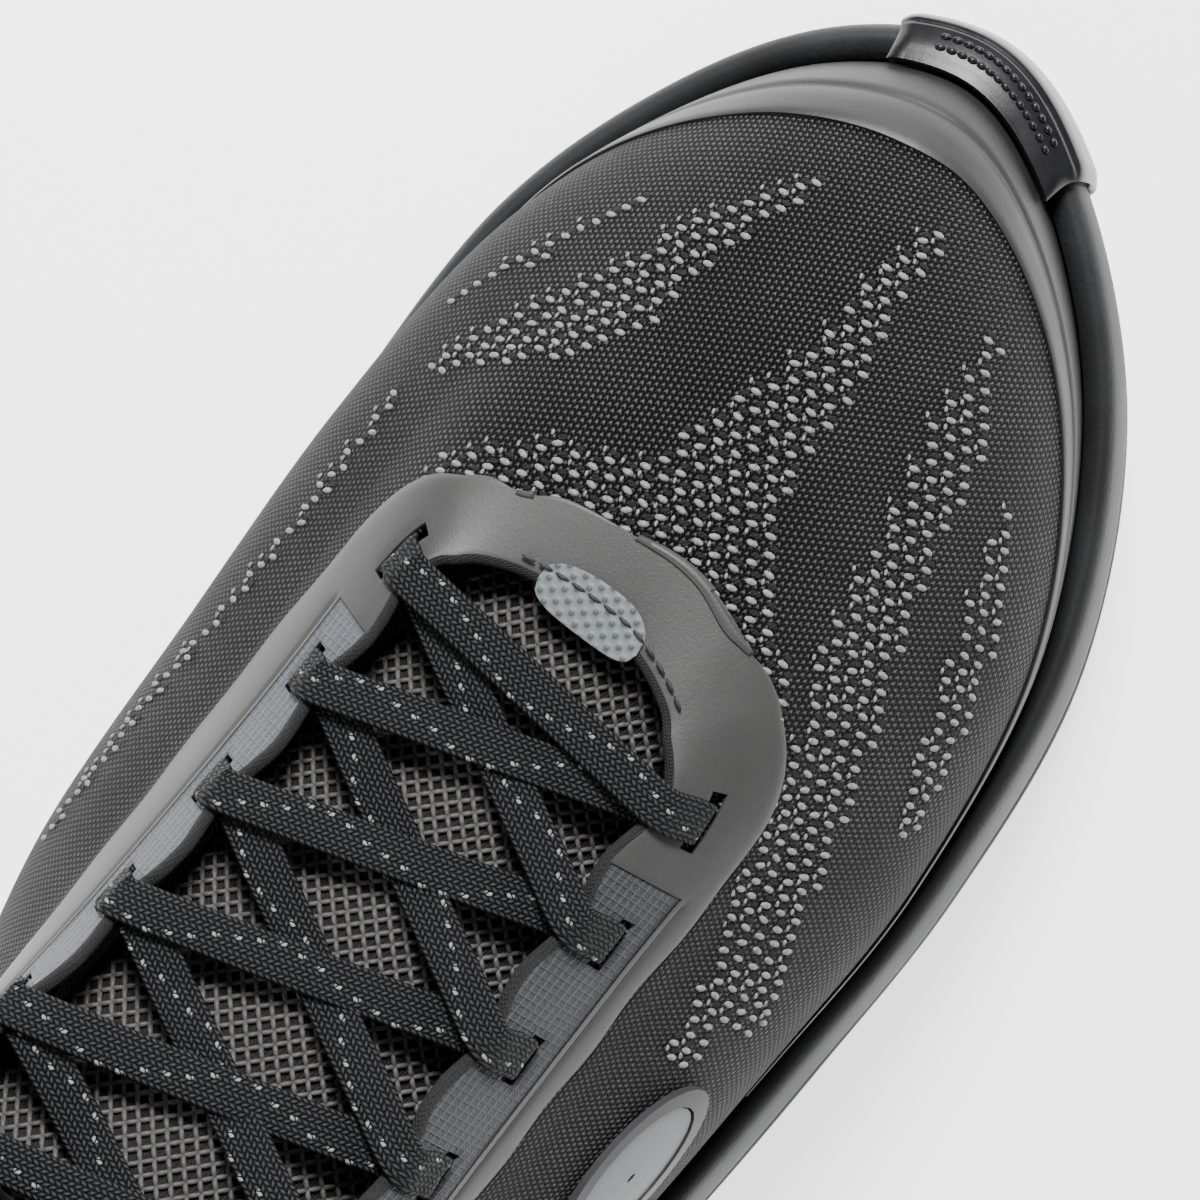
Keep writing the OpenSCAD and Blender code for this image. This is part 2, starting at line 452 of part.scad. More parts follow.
module aglets() color("#3b3d40") place() for (side = [-1, 1])
  let (p = end_path(side), d = unit(p[5] - p[4]))
  translate(p[5] + d * 0.2) rotate([0, acos(d[2]), atan2(d[1], d[0])]) cylinder(d = 3, h = 18, $fn = 24);

// Raised oval on the lateral quarter
EMBLEM = [lateral_t(138), 0.44];
function oval(r, a, d) = upper(EMBLEM[0] + r * cos(a) * 0.46, EMBLEM[1] - r * sin(a) * 0.09, d);
OVAL_A = [for (i = [0:27]) i * 360 / 28];
module emblem_rim() color("#4b4b4e") place()
  skin([for (a = OVAL_A) [for (r = [0.8, 1]) oval(r, a, 1.3)]], [for (a = OVAL_A) [for (r = [0.8, 1]) oval(r, a, bond)]],
    all_on(28, 1), true);
module emblem_face() color("#a5aaac") place()
  skin([for (a = OVAL_A) [for (r = [0.05, 0.4, 0.78]) oval(r, a, 1)]], [for (a = OVAL_A) [for (r = [0.05, 0.4, 0.78]) oval(r, a, bond)]],
    all_on(28, 2), true);

// Woven loop stitched to the back of the heel
module pull_tab() color("#232427") place() {
  p = [upper(11, 0.74, 1.4), upper(11, 0.86, 1.7), upper(11, 0.97, 2.2), upper(11, 1, 2) + [-0.4, 0, 8],
    upper(11, 1, 2) + [-0.8, 0, 14], upper(11, 1, 2) + [-3, 0, 16.5], upper(11, 1, 2) + [-5, 0, 14],
    upper(11, 0.97, 2) + [-4.2, 0, 4], upper(11, 0.86, 3), upper(11, 0.74, 2.7)];
  band(p, [for (q = p) [0, 1, 0]], 18, 1.1);
}

outsole_forefoot();
outsole_heel_lateral();
outsole_heel_medial();
toe_bumper();
midsole();
strobel_board();
insole();
knit_upper();
toe_guard();
medial_strip();
toe_puff();
eyestay_overlay();
window_medial();
window_lateral();
heel_overlay();
heel_counter();
collar_foam();
heel_lining();
tongue_mesh();
tongue_foam();
tongue_lining();
tongue_top_panel();
throat_tab();
lace_crossings();
lace_bow();
lace_end_left();
lace_end_right();
aglets();
emblem_rim();
emblem_face();
pull_tab();
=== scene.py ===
"""Running shoe, right foot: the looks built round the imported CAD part."""

import math

import bmesh
import bpy
import numpy as np
from mathutils import Matrix, Vector


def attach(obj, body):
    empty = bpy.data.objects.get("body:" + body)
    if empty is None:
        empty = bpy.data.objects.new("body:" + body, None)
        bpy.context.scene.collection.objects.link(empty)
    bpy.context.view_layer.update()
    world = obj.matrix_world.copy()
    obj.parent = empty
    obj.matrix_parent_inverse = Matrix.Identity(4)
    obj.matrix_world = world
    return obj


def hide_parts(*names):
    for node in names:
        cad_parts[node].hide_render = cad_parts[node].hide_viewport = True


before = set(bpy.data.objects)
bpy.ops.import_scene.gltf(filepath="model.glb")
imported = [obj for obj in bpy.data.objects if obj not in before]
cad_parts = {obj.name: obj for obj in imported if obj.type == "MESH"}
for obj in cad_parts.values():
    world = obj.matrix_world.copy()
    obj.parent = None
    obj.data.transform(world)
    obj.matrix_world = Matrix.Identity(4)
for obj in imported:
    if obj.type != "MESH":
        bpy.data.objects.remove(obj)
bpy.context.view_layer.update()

# ---------------------------------------------------------------------------------------------------
# Shape of the shoe, in millimetres from the back of the heel, as in the CAD source.
# A section of RING is: sole outline x y, throat or collar edge x y z, turn of the side, bulge.
RING = np.array([
    [292, 5, 197, 0, 77, 88, 2], [283, 26, 196.5, 8.5, 77, 86, 2.5], [263, 42, 195, 14, 77.5, 80, 3],
    [234, 53, 192.5, 18, 78.5, 74, 4], [198, 54.5, 187, 21, 80, 68, 6], [162, 52.5, 160, 22, 87.5, 62, 7],
    [128, 50, 127, 24, 100.5, 58, 7], [98, 45, 100, 28, 113, 52, 4], [70, 43, 80, 33, 104, 45, 4],
    [42, 42, 52, 34, 87, 40, 4], [14, 29, 20, 25, 95, 40, 4], [0, 0, 6, 0, 106, 40, 4],
    [14, -29, 20, -25, 94, 40, 4], [42, -43, 52, -34, 84, 40, 4], [70, -45, 80, -33, 103, 45, 4],
    [98, -49, 100, -28, 112, 52, 4], [128, -53, 127, -24, 99.5, 58, 5], [160, -55.5, 160, -22, 86.5, 62, 5],
    [192, -57, 183.5, -21.5, 79.5, 68, 5], [228.5, -53, 190.5, -17.5, 78, 74, 4],
    [260.5, -38, 194, -13, 77.5, 80, 3], [283, -16, 196.5, -6.5, 77, 86, 2.5]], float)
ROWS, HEEL = 22, 11
GROUND = [13, 0.8, 0, 0, 0, 0, 1.6, 9, 24]
RIM = [48, 42, 39, 37, 34, 32, 32, 35, 42]
BED = [33, 32.5, 31, 28.5, 26, 24.5, 25, 28.5, 35]
TONGUE = np.array([
    [208, 71, 12, 2.4], [188, 75.2, 18.5, 5.4], [168, 81.6, 22.5, 7.6], [148, 88.8, 23, 8],
    [128, 97, 23.4, 8.2], [108, 106.8, 24.2, 8.6], [88, 118.4, 26, 9], [70, 130, 25.5, 9.4]], float)
FILM_IN = [[-8, 17], [-5, 16.5], [-4, 16.5], [-3, 16], [-2, 14], [-1, 13], [0, 12.4], [1, 12], [2, 12],
           [3, 12.5], [4, 15], [5, 18.5], [8, 18.5]]
SOLE_LENGTH, FEATHER, RUBBER = 296.0, 7.0, 3.0
PITCH, FIRST_SLOT, SLOT_SKEW, SLOTS, SLOT, SLOT_GAP = 18.2, 187.0, 5.0, 6, 7.2, 1.1
KNIT, BOND, FILM = 1.2, 0.1, 0.5
LACE_W, LACE_T = 6.2, 1.0
MIDDLE = np.array([146.216, -1.219, 0.0])


def metres(points):
    return (np.asarray(points, float) - MIDDLE) / 1000


def spline(a, b, c, d, f):
    return 0.5 * (2 * b + (c - a) * f + (2 * a - 5 * b + 4 * c - d) * f ** 2
                  + (3 * b - a - 3 * c + d) * f ** 3)


def section(t):
    t = np.asarray(t, float)
    i = np.floor(t).astype(int)
    f = (t - i)[..., None]
    return spline(RING[(i - 1) % ROWS], RING[i % ROWS], RING[(i + 1) % ROWS], RING[(i + 2) % ROWS], f)


def along(table, s):
    table = np.asarray(table, float)
    n = len(table) - 1
    q = np.clip(np.asarray(s, float), 0, 0.99999) * n
    i = np.floor(q).astype(int)
    f = q - i
    if table.ndim > 1:
        f = f[..., None]
    return spline(table[np.maximum(i - 1, 0)], table[i], table[i + 1], table[np.minimum(i + 2, n)], f)


def ground(x):
    return np.maximum(along(GROUND, np.asarray(x) / SOLE_LENGTH) - 0.2, 0)


def rim(x):
    return along(RIM, np.asarray(x) / SOLE_LENGTH)


def bed(x):
    return along(BED, np.asarray(x) / SOLE_LENGTH)


def unit(v):
    return v / np.maximum(np.linalg.norm(v, axis=-1, keepdims=True), 1e-9)


def mix(a, b, f):
    return a + (b - a) * f


def ease(f):
    g = np.clip(f, 0, 1)
    return g * g * (3 - 2 * g)


def outline(t):
    return section(t)[..., :2]


def outward(t):
    d = outline(np.asarray(t) + 0.02) - outline(np.asarray(t) - 0.02)
    return unit(np.stack([d[..., 1], -d[..., 0]], -1))


def inset(t, d):
    return outline(t) - outward(t) * np.asarray(d)[..., None]


def upper0(t, v):
    """Upper surface: t round the shoe, v from its foot (0) to the throat or collar edge (1)."""
    t, v = np.broadcast_arrays(np.asarray(t, float), np.asarray(v, float))
    r = section(t)
    b = inset(t, FEATHER)
    turn = np.radians(r[..., 5])
    a = v * turn
    h = (1 - np.cos(a)) / (1 - np.cos(turn))
    o = outward(t) * (r[..., 6] * np.sin(np.pi * np.clip(v * 1.6, 0, 1)))[..., None]
    xy = b * (1 - h)[..., None] + r[..., 2:4] * h[..., None] + o
    z = mix(bed(b[..., 0]), r[..., 4], np.sin(a) / np.sin(turn))
    return np.concatenate([xy, z[..., None]], -1)


def upper_normal(t, v):
    t, v = np.broadcast_arrays(np.asarray(t, float), np.asarray(v, float))
    k = np.minimum(v, 0.98)
    return unit(np.cross(upper0(t + 0.05, k) - upper0(t - 0.05, k), upper0(t, k + 0.02)
                         - upper0(t, k - 0.02)))


def upper(t, v, d=0.0):
    return upper0(t, v) + upper_normal(t, v) * np.asarray(d, float)[..., None]


def v_in(t, d):
    """How far up the upper a point is that lies a distance in from the throat edge."""
    return 1 - 0.1 * np.asarray(d) / np.linalg.norm(upper0(t, 1.0) - upper0(t, 0.9), axis=-1)


def v_at(t, z):
    r = section(t)
    zb = bed(inset(t, FEATHER)[..., 0])
    turn = np.radians(r[..., 5])
    return np.arcsin(np.minimum((z - zb) / (r[..., 4] - zb) * np.sin(turn), 1)) / turn


def signed(t):
    t = np.asarray(t, float)
    return t - ROWS * np.floor(t / ROWS + 0.5)


def medial(t):
    return ease(1.1 * np.sin(signed(t) * math.pi / HEEL) + 0.5)


def slot_d(t):
    return mix(8.0, 5.5, medial(t))


def window_d(t):
    return mix(12.3, 8.7, medial(t))


def film_d(t):
    table = np.array(FILM_IN, float)
    return (np.interp(signed(t), table[:, 0], table[:, 1])
            + 0.3 * np.cos(2 * math.pi * (section(t)[..., 2] - FIRST_SLOT) / PITCH)
            - 1.5 * np.exp(-((np.abs(signed(t)) - 1.9) / 0.5) ** 2))


def throat_t(x, side):
    """Place round the shoe where the throat edge is at x, on the medial (1) or lateral (-1) side."""
    a, b = (1.0, 8.0) if side > 0 else (14.0, 21.0)
    for _ in range(26):
        m = (a + b) / 2
        if (section(m)[2] > x) == (section(a)[2] > x):
            a = m
        else:
            b = m
    return (a + b) / 2


def slot_x(i, side):
    return FIRST_SLOT - PITCH * i - (SLOT_SKEW if side < 0 else 0)


def tongue0(s, w):
    s, w = np.broadcast_arrays(np.asarray(s, float), np.asarray(w, float))
    c = along(TONGUE, s)
    return np.stack([c[..., 0], w * c[..., 2], c[..., 1] - c[..., 3] * w * w], -1)


def tongue(s, w, d):
    s, w = np.broadcast_arrays(np.asarray(s, float), np.asarray(w, float))
    k = np.clip(s, 0.01, 0.99)
    n = unit(np.cross(tongue0(k, w + 0.01) - tongue0(k, w - 0.01), tongue0(k + 0.01, w)
                      - tongue0(k - 0.01, w)))
    return tongue0(s, w) + n * np.asarray(d, float)[..., None]


# ---------------------------------------------------------------------------------------------------
# Materials: small helpers that build node trees, then one function per finish.
class Nodes:
    """Adds shader nodes to one material and wires values or sockets into them."""

    def __init__(self, name, color, roughness, **sockets):
        self.mat = bpy.data.materials.new(name)
        self.mat.use_nodes = True
        self.tree = self.mat.node_tree
        self.bsdf = self.tree.nodes["Principled BSDF"]
        self.bsdf.inputs["Base Color"].default_value = (*color, 1)
        self.bsdf.inputs["Roughness"].default_value = roughness
        for key, value in sockets.items():
            self.bsdf.inputs[key.replace("_", " ")].default_value = value

    def wire(self, socket, value):
        if isinstance(value, bpy.types.NodeSocket):
            self.tree.links.new(value, socket)
        else:
            socket.default_value = value

    def math(self, operation, a, b=0.0, c=0.0):
        node = self.tree.nodes.new("ShaderNodeMath")
        node.operation = operation
        for socket, value in zip(node.inputs, (a, b, c)):
            self.wire(socket, value)
        return node.outputs[0]

    def mul(self, a, b):
        return self.math("MULTIPLY", a, b)

    def div(self, a, b):
        return self.math("DIVIDE", a, b)

    def add(self, a, b):
        return self.math("ADD", a, b)

    def sub(self, a, b):
        return self.math("SUBTRACT", a, b)

    def power(self, a, b):
        return self.math("POWER", a, b)

    def modulo(self, a, b):
        return self.math("MODULO", a, b)

    def sine(self, a):
        return self.math("SINE", a)

    def absolute(self, a):
        return self.math("ABSOLUTE", a)

    def fract(self, a):
        return self.math("FRACT", a)

    def floor(self, a):
        return self.math("FLOOR", a)

    def coords(self, scale=1000.0, uv=None):
        """Place in millimetres: the object's own, or of a named UV map that already holds millimetres."""
        if uv:
            node = self.tree.nodes.new("ShaderNodeUVMap")
            node.uv_map = uv
            return node.outputs[0]
        node = self.tree.nodes.new("ShaderNodeTexCoord")
        scaled = self.tree.nodes.new("ShaderNodeVectorMath")
        scaled.operation = "SCALE"
        scaled.inputs["Scale"].default_value = scale
        self.wire(scaled.inputs[0], node.outputs["Object"])
        return scaled.outputs[0]

    def split(self, vector):
        node = self.tree.nodes.new("ShaderNodeSeparateXYZ")
        self.wire(node.inputs[0], vector)
        return node.outputs

    def noise(self, vector, scale, detail=2.0, rough=0.5):
        node = self.tree.nodes.new("ShaderNodeTexNoise")
        self.wire(node.inputs["Vector"], vector)
        node.inputs["Scale"].default_value = scale
        node.inputs["Detail"].default_value = detail
        node.inputs["Roughness"].default_value = rough
        return node.outputs[0]

    def ramp(self, factor, stops):
        node = self.tree.nodes.new("ShaderNodeValToRGB")
        while len(node.color_ramp.elements) < len(stops):
            node.color_ramp.elements.new(0.5)
        for element, (place, color) in zip(node.color_ramp.elements, stops):
            element.position = place
            element.color = (*color, 1)
        self.wire(node.inputs[0], factor)
        return node.outputs[0]

    def color(self, socket):
        self.wire(self.bsdf.inputs["Base Color"], socket)

    def bump(self, height, distance, strength=1.0, after=None):
        node = self.tree.nodes.new("ShaderNodeBump")
        node.inputs["Strength"].default_value = strength
        node.inputs["Distance"].default_value = distance / 1000
        self.wire(node.inputs["Height"], height)
        if after is not None:
            self.wire(node.inputs["Normal"], after)
        self.wire(self.bsdf.inputs["Normal"], node.outputs[0])
        return node.outputs[0]


def grey(value, warm=0.0):
    return (value * (1 + warm), value, value * (1 - warm))


KNIT_COLUMN, KNIT_ROW = 0.87, 0.98


def knit_material():
    """Rows of small staggered stitches, toe-ward along U, with loose light fibres between them; each loop
    carries a painted highlight on its crest and painted shade in the gaps.
    """
    m = Nodes("knit", grey(0.02), 0.65, Specular_IOR_Level=0.18)
    place = m.coords(uv="mm")
    u, w, _ = m.split(place)
    wob = m.noise(place, 0.35, 2)
    column = m.add(m.div(w, KNIT_COLUMN), m.mul(wob, 0.6))
    odd = m.mul(m.modulo(m.floor(column), 2.0), 0.5)
    across = m.fract(column)
    lean = m.mul(m.absolute(m.sub(across, 0.5)), 0.9)
    stitch = m.fract(m.add(m.add(m.div(u, KNIT_ROW), odd), lean))
    a = m.sine(m.mul(across, math.pi))
    b = m.sine(m.mul(stitch, math.pi))
    loop = m.mul(m.power(m.absolute(a), 0.6), m.power(m.absolute(b), 0.8))
    fibre = m.noise(place, 3.2, 3, 0.6)
    patch = m.noise(place, 0.05, 2)
    # colour follows the stitch relief: a painted highlight on each loop's crest and near-black painted shade
    # in the gaps between loops; the fibre and patch noise are the yarn's own uneven tone
    tone = m.add(m.mul(loop, m.add(m.mul(fibre, 0.8), 0.45)),
                  m.mul(patch, 0.25))
    m.color(m.ramp(tone, [(0.26, grey(0.0006)), (0.5, grey(0.006)), (0.76, (0.026, 0.026, 0.027)),
                          (1.0, (0.11, 0.11, 0.112))]))
    m.bump(m.add(loop, m.mul(fibre, 0.3)), 0.8, 1.0)
    return m.mat


def film_material(name, tone, grain=0.5, rough=0.5):
    """Thin bonded film: a fine leathery grain, faint cloth showing through and rubbed high spots."""
    m = Nodes(name, tone, rough, Specular_IOR_Level=0.45)
    place = m.coords()
    fine = m.noise(place, 2.4, 3, 0.6)
    broad = m.noise(place, 0.06, 3)
    dark = tuple(c * 0.82 for c in tone)
    light = tuple(c * 1.22 for c in tone)
    m.color(m.ramp(m.add(m.mul(fine, 0.5), m.mul(broad, 0.5)),
                   [(0.3, dark), (0.7, light)]))
    m.wire(m.bsdf.inputs["Roughness"], m.math("MULTIPLY_ADD", broad, 0.2, rough - 0.1))
    m.bump(fine, 0.06 * grain, 0.8)
    return m.mat


RIPSTOP_GRID, RIPSTOP_THREAD = 1.15, 18.0


def ripstop_material(name, tone):
    """Fine plain weave with a raised thread grid of about 1 mm."""
    m = Nodes(name, tone, 0.55, Specular_IOR_Level=0.4, Sheen_Weight=0.1)
    place = m.coords(uv="mm")
    u, w, _ = m.split(place)
    grid = []
    for axis in (u, w):
        wave = m.absolute(m.sine(m.mul(axis, math.pi / RIPSTOP_GRID)))
        grid.append(m.power(m.sub(1.0, wave), 3.0))
    line = m.math("MAXIMUM", grid[0], grid[1])
    weave = m.mul(m.sine(m.mul(u, RIPSTOP_THREAD)), m.sine(m.mul(w, RIPSTOP_THREAD)))
    fine = m.noise(place, 1.5, 3)
    tint = m.add(m.mul(line, 0.45), m.mul(fine, 0.5))
    m.color(m.ramp(tint, [(0.1, tuple(c * 0.78 for c in tone)),
                          (0.7, tuple(min(c * 1.35, 1) for c in tone))]))
    m.bump(m.add(line, m.mul(weave, 0.15)), 0.22, 0.8)
    return m.mat


STRANDS, STRAND_STEP = 9.0, 0.95


def lace_material():
    """Flat braid: nine columns of slanted strands with painted shade in the gaps between them, and light
    flecks in short slanting runs.
    """
    m = Nodes("lace braid", grey(0.02), 0.6, Specular_IOR_Level=0.16)
    place = m.coords(uv="mm")
    u, w, _ = m.split(place)
    column = m.mul(w, STRANDS / LACE_W)
    slant = m.mul(m.sub(m.mul(m.modulo(m.floor(column), 2.0), 2.0), 1.0),
                   m.fract(column))
    strand = m.fract(m.add(m.div(u, STRAND_STEP), m.mul(slant, 0.55)))
    a = m.sine(m.mul(m.fract(column), math.pi))
    b = m.sine(m.mul(strand, math.pi))
    yarn = m.mul(m.power(m.absolute(a), 0.5), m.power(m.absolute(b), 0.6))
    fibre = m.noise(place, 4.0, 3, 0.6)
    # one strand in three along the lace carries a fleck, and its column wanders slowly from edge to edge
    run = m.floor(m.div(u, STRAND_STEP))
    chosen = m.math("LESS_THAN", m.modulo(run, 3.0), 0.5)
    wander = m.math("PINGPONG", m.mul(m.floor(m.div(run, 3.0)), 1.35), 8.0)
    near = m.absolute(m.sub(m.floor(column), m.floor(wander)))
    bright = m.mul(m.mul(chosen, m.math("LESS_THAN", near, 0.5)), m.math("GREATER_THAN", yarn, 0.4))
    # colour follows the strand relief: near-black painted shade in the gaps between strands and lighter
    # crests; the flecks are the braid's own light yarn
    tone = m.mul(yarn, m.math("MULTIPLY_ADD", fibre, 0.8, 0.4))
    base = m.add(m.mul(tone, 0.6), m.mul(bright, 0.4))
    m.color(m.ramp(base, [(0.14, grey(0.0006)), (0.32, (0.012, 0.0125, 0.0135)), (0.58, (0.048, 0.05, 0.053)),
                          (0.66, (0.17, 0.17, 0.17)), (1.0, (0.34, 0.34, 0.335))]))
    m.bump(m.add(yarn, m.mul(fibre, 0.2)), 0.35, 0.9)
    return m.mat


def rubber_material(name, tone, rough, grain=0.04):
    m = Nodes(name, tone, rough, Specular_IOR_Level=0.28)
    place = m.coords()
    fine = m.noise(place, 1.8, 3, 0.6)
    dust = m.noise(place, 0.12, 4, 0.65)
    m.color(m.ramp(dust, [(0.35, tone), (0.75, tuple(c * 1.6 + 0.004 for c in tone))]))
    m.wire(m.bsdf.inputs["Roughness"], m.math("MULTIPLY_ADD", dust, 0.25, rough - 0.1))
    m.bump(fine, grain, 0.7)
    return m.mat


def foam_material():
    """Moulded foam: fine pebble with slightly shiny rubbed patches."""
    m = Nodes("moulded foam", grey(0.02), 0.6, Specular_IOR_Level=0.18)
    place = m.coords()
    pebble = m.tree.nodes.new("ShaderNodeTexVoronoi")
    m.wire(pebble.inputs["Vector"], place)
    pebble.inputs["Scale"].default_value = 1.3
    broad = m.noise(place, 0.05, 3)
    m.color(m.ramp(broad, [(0.3, grey(0.014)), (0.75, (0.028, 0.029, 0.031))]))
    m.wire(m.bsdf.inputs["Roughness"], m.math("MULTIPLY_ADD", broad, 0.25, 0.45))
    m.bump(pebble.outputs["Distance"], 0.07, 0.6)
    return m.mat


def cloth_material(name, tone, pitch=0.7, sheen=0.2):
    """Brushed or woven cloth: a fine over-and-under weave with soft uneven colour."""
    m = Nodes(name, tone, 0.85, Sheen_Weight=sheen)
    place = m.coords()
    x, y, z = m.split(place)
    k = 2 * math.pi / pitch
    wave = m.mul(m.sine(m.mul(m.add(x, z), k)),
                  m.sine(m.mul(m.add(y, m.mul(z, 0.6)), k)))
    fuzz = m.noise(place, 1.6, 4, 0.65)
    m.color(m.ramp(m.math("MULTIPLY_ADD", wave, 0.12, fuzz),
                   [(0.3, tuple(c * 0.6 for c in tone)), (0.72, tuple(min(1, c * 1.45) for c in tone))]))
    m.bump(m.add(m.mul(wave, 0.5), fuzz), 0.3, 0.8)
    return m.mat


def yarn_material(name, tone, light=None):
    m = Nodes(name, tone, 0.6, Sheen_Weight=0.1)
    place = m.coords()
    twist = m.noise(place, 2.2, 3, 0.7)
    m.color(m.ramp(twist, [(0.3, tuple(c * 0.65 for c in tone)),
                           (0.7, light or tuple(min(1, c * 1.4) for c in tone))]))
    m.bump(twist, 0.12, 0.8)
    return m.mat


def dotted_material():
    """Light backing printed with slanted raised dashes."""
    m = Nodes("dotted tab", (0.48, 0.52, 0.54), 0.6)
    place = m.coords(uv="mm")
    u, w, _ = m.split(place)
    row = m.div(w, 1.3)
    odd = m.mul(m.modulo(m.floor(row), 2.0), 0.5)
    a = m.sine(m.mul(m.fract(row), math.pi))
    b = m.sine(m.mul(m.fract(m.add(m.div(u, 2.0), odd)), math.pi))
    dot = m.mul(m.power(m.absolute(a), 1.5), m.power(m.absolute(b), 2.5))
    m.color(m.ramp(dot, [(0.35, (0.13, 0.145, 0.155)), (0.6, (0.055, 0.065, 0.07))]))
    m.bump(dot, 0.25, 0.9)
    return m.mat


MATERIALS = {
    "knit": knit_material(),
    "guard": film_material("toe film", (0.021, 0.021, 0.0215), 0.9, 0.46),
    "overlay": film_material("throat film", (0.042, 0.0415, 0.041), 0.8, 0.5),
    "light_ripstop": ripstop_material("light ripstop", (0.057, 0.066, 0.077)),
    "dark_ripstop": ripstop_material("dark ripstop", (0.021, 0.025, 0.03)),
    "lace": lace_material(),
    "rubber": rubber_material("outsole rubber", (0.011, 0.011, 0.012), 0.5),
    "bumper": rubber_material("bumper rubber", (0.006, 0.006, 0.007), 0.26, 0.02),
    "foam_sole": foam_material(),
    "lining": cloth_material("lining", (0.035, 0.038, 0.042)),
    "insole": cloth_material("insole cloth", (0.028, 0.03, 0.035), 0.9),
    "board": cloth_material("board", (0.16, 0.15, 0.13), 1.2, 0.05),
    "puff": film_material("stiffener", (0.1, 0.09, 0.08)),
    "net": yarn_material("net yarn", (0.062, 0.059, 0.055)),
    "binding": cloth_material("binding", (0.006, 0.006, 0.0065), 0.6, 0.0),
    "thread": yarn_material("black thread", (0.008, 0.008, 0.009)),
    "light_yarn": yarn_material("light yarn", (0.15, 0.15, 0.15), (0.29, 0.29, 0.287)),
    # near-black painted shade for the inside of holes: used for the open-stitch hole discs and the tongue
    # backing seen through the net
    "hole": cloth_material("painted hole shade", (0.002, 0.002, 0.002), 0.7, 0.0),
    "webbing": cloth_material("webbing", (0.016, 0.017, 0.019), 1.1),
    "tip": Nodes("lace tip", (0.02, 0.02, 0.022), 0.18, Coat_Weight=0.6).mat,
    "patch_face": film_material("patch face", (0.14, 0.148, 0.152), 0.5, 0.45),
    "patch_rim": film_material("patch rim", (0.03, 0.03, 0.032), 0.5, 0.45),
    "tab": dotted_material(),
}


# ---------------------------------------------------------------------------------------------------
# Meshes
def add_mesh(name, vertices, faces, material, uv=None, smooth=True):
    """A mesh from points in millimetres. uv gives a point on the surface, in millimetres, per vertex."""
    mesh = bpy.data.meshes.new(name)
    mesh.from_pydata([tuple(p) for p in metres(vertices)], [], [tuple(int(i) for i in f) for f in faces])
    mesh.materials.append(MATERIALS[material])
    if uv is not None:
        layer = mesh.uv_layers.new(name="mm")
        index = np.empty(len(mesh.loops), int)
        mesh.loops.foreach_get("vertex_index", index)
        layer.data.foreach_set("uv", np.asarray(uv, float).reshape(-1, 2)[index].ravel())
    mesh.polygons.foreach_set("use_smooth", [smooth] * len(mesh.polygons))
    mesh.update()
    obj = bpy.data.objects.new(name, mesh)
    bpy.context.scene.collection.objects.link(obj)
    return obj


def grid_faces(n, m, keep=None, loop=False, flip=False):
    faces = []
    for i in range(n if loop else n - 1):
        a, b = i * m, ((i + 1) % n) * m
        for j in range(m - 1):
            if keep is None or keep[i][j]:
                quad = (a + j, b + j, b + j + 1, a + j + 1)
                faces.append(quad[::-1] if flip else quad)
    return faces


def sheet_mesh(name, points, material, thick, keep=None, uv=None, loop=False, bevel=0.0, flip=False):
    """A grid of points with a thickness grown inward, and soft edges."""
    n, m = points.shape[:2]
    obj = add_mesh(name, points.reshape(-1, 3), grid_faces(n, m, keep, loop, flip), material, uv)
    used = {i for p in obj.data.polygons for i in p.vertices}
    if len(used) < n * m:
        strip_loose(obj)
    if thick:
        solid = obj.modifiers.new("thickness", "SOLIDIFY")
        solid.thickness = thick / 1000
        solid.offset = -1
    if bevel:
        soft = obj.modifiers.new("soft edge", "BEVEL")
        soft.width = bevel / 1000
        soft.segments = 2
        soft.limit_method = "ANGLE"
        soft.angle_limit = math.radians(50)
    return obj


def strip_loose(obj):
    work = bmesh.new()
    work.from_mesh(obj.data)
    bmesh.ops.delete(work, geom=[v for v in work.verts if not v.link_faces], context="VERTS")
    work.to_mesh(obj.data)
    work.free()


def loft(name, rings, material, closed_ends=True, uv=None):
    """A tube through closed rings of points."""
    rings = np.asarray(rings, float)
    k, n = rings.shape[:2]
    faces = [(r * n + i, r * n + (i + 1) % n, (r + 1) * n + (i + 1) % n, (r + 1) * n + i)
             for r in range(k - 1) for i in range(n)]
    if closed_ends:
        faces.append(tuple(range(n - 1, -1, -1)))
        faces.append(tuple((k - 1) * n + i for i in range(n)))
    return add_mesh(name, rings.reshape(-1, 3), faces, material, uv)


def resample(path, count):
    """Catmull-Rom curve through the points, at even steps of the index."""
    path = np.asarray(path, float)
    n = len(path)
    q = np.linspace(0, n - 1, count)
    i = np.minimum(np.floor(q).astype(int), n - 2)
    f = (q - i)[:, None]
    return spline(path[np.maximum(i - 1, 0)], path[i], path[i + 1], path[np.minimum(i + 2, n - 1)], f)


def even(path, step):
    """The same curve with points spaced evenly along it."""
    fine = resample(path, 60 * len(path))
    run = np.r_[0, np.cumsum(np.linalg.norm(np.diff(fine, axis=0), axis=1))]
    count = max(3, int(round(run[-1] / step)) + 1)
    return np.stack([np.interp(np.linspace(0, run[-1], count), run, fine[:, k]) for k in range(3)],
                    1), run[-1]


BAND_SIDES = 16


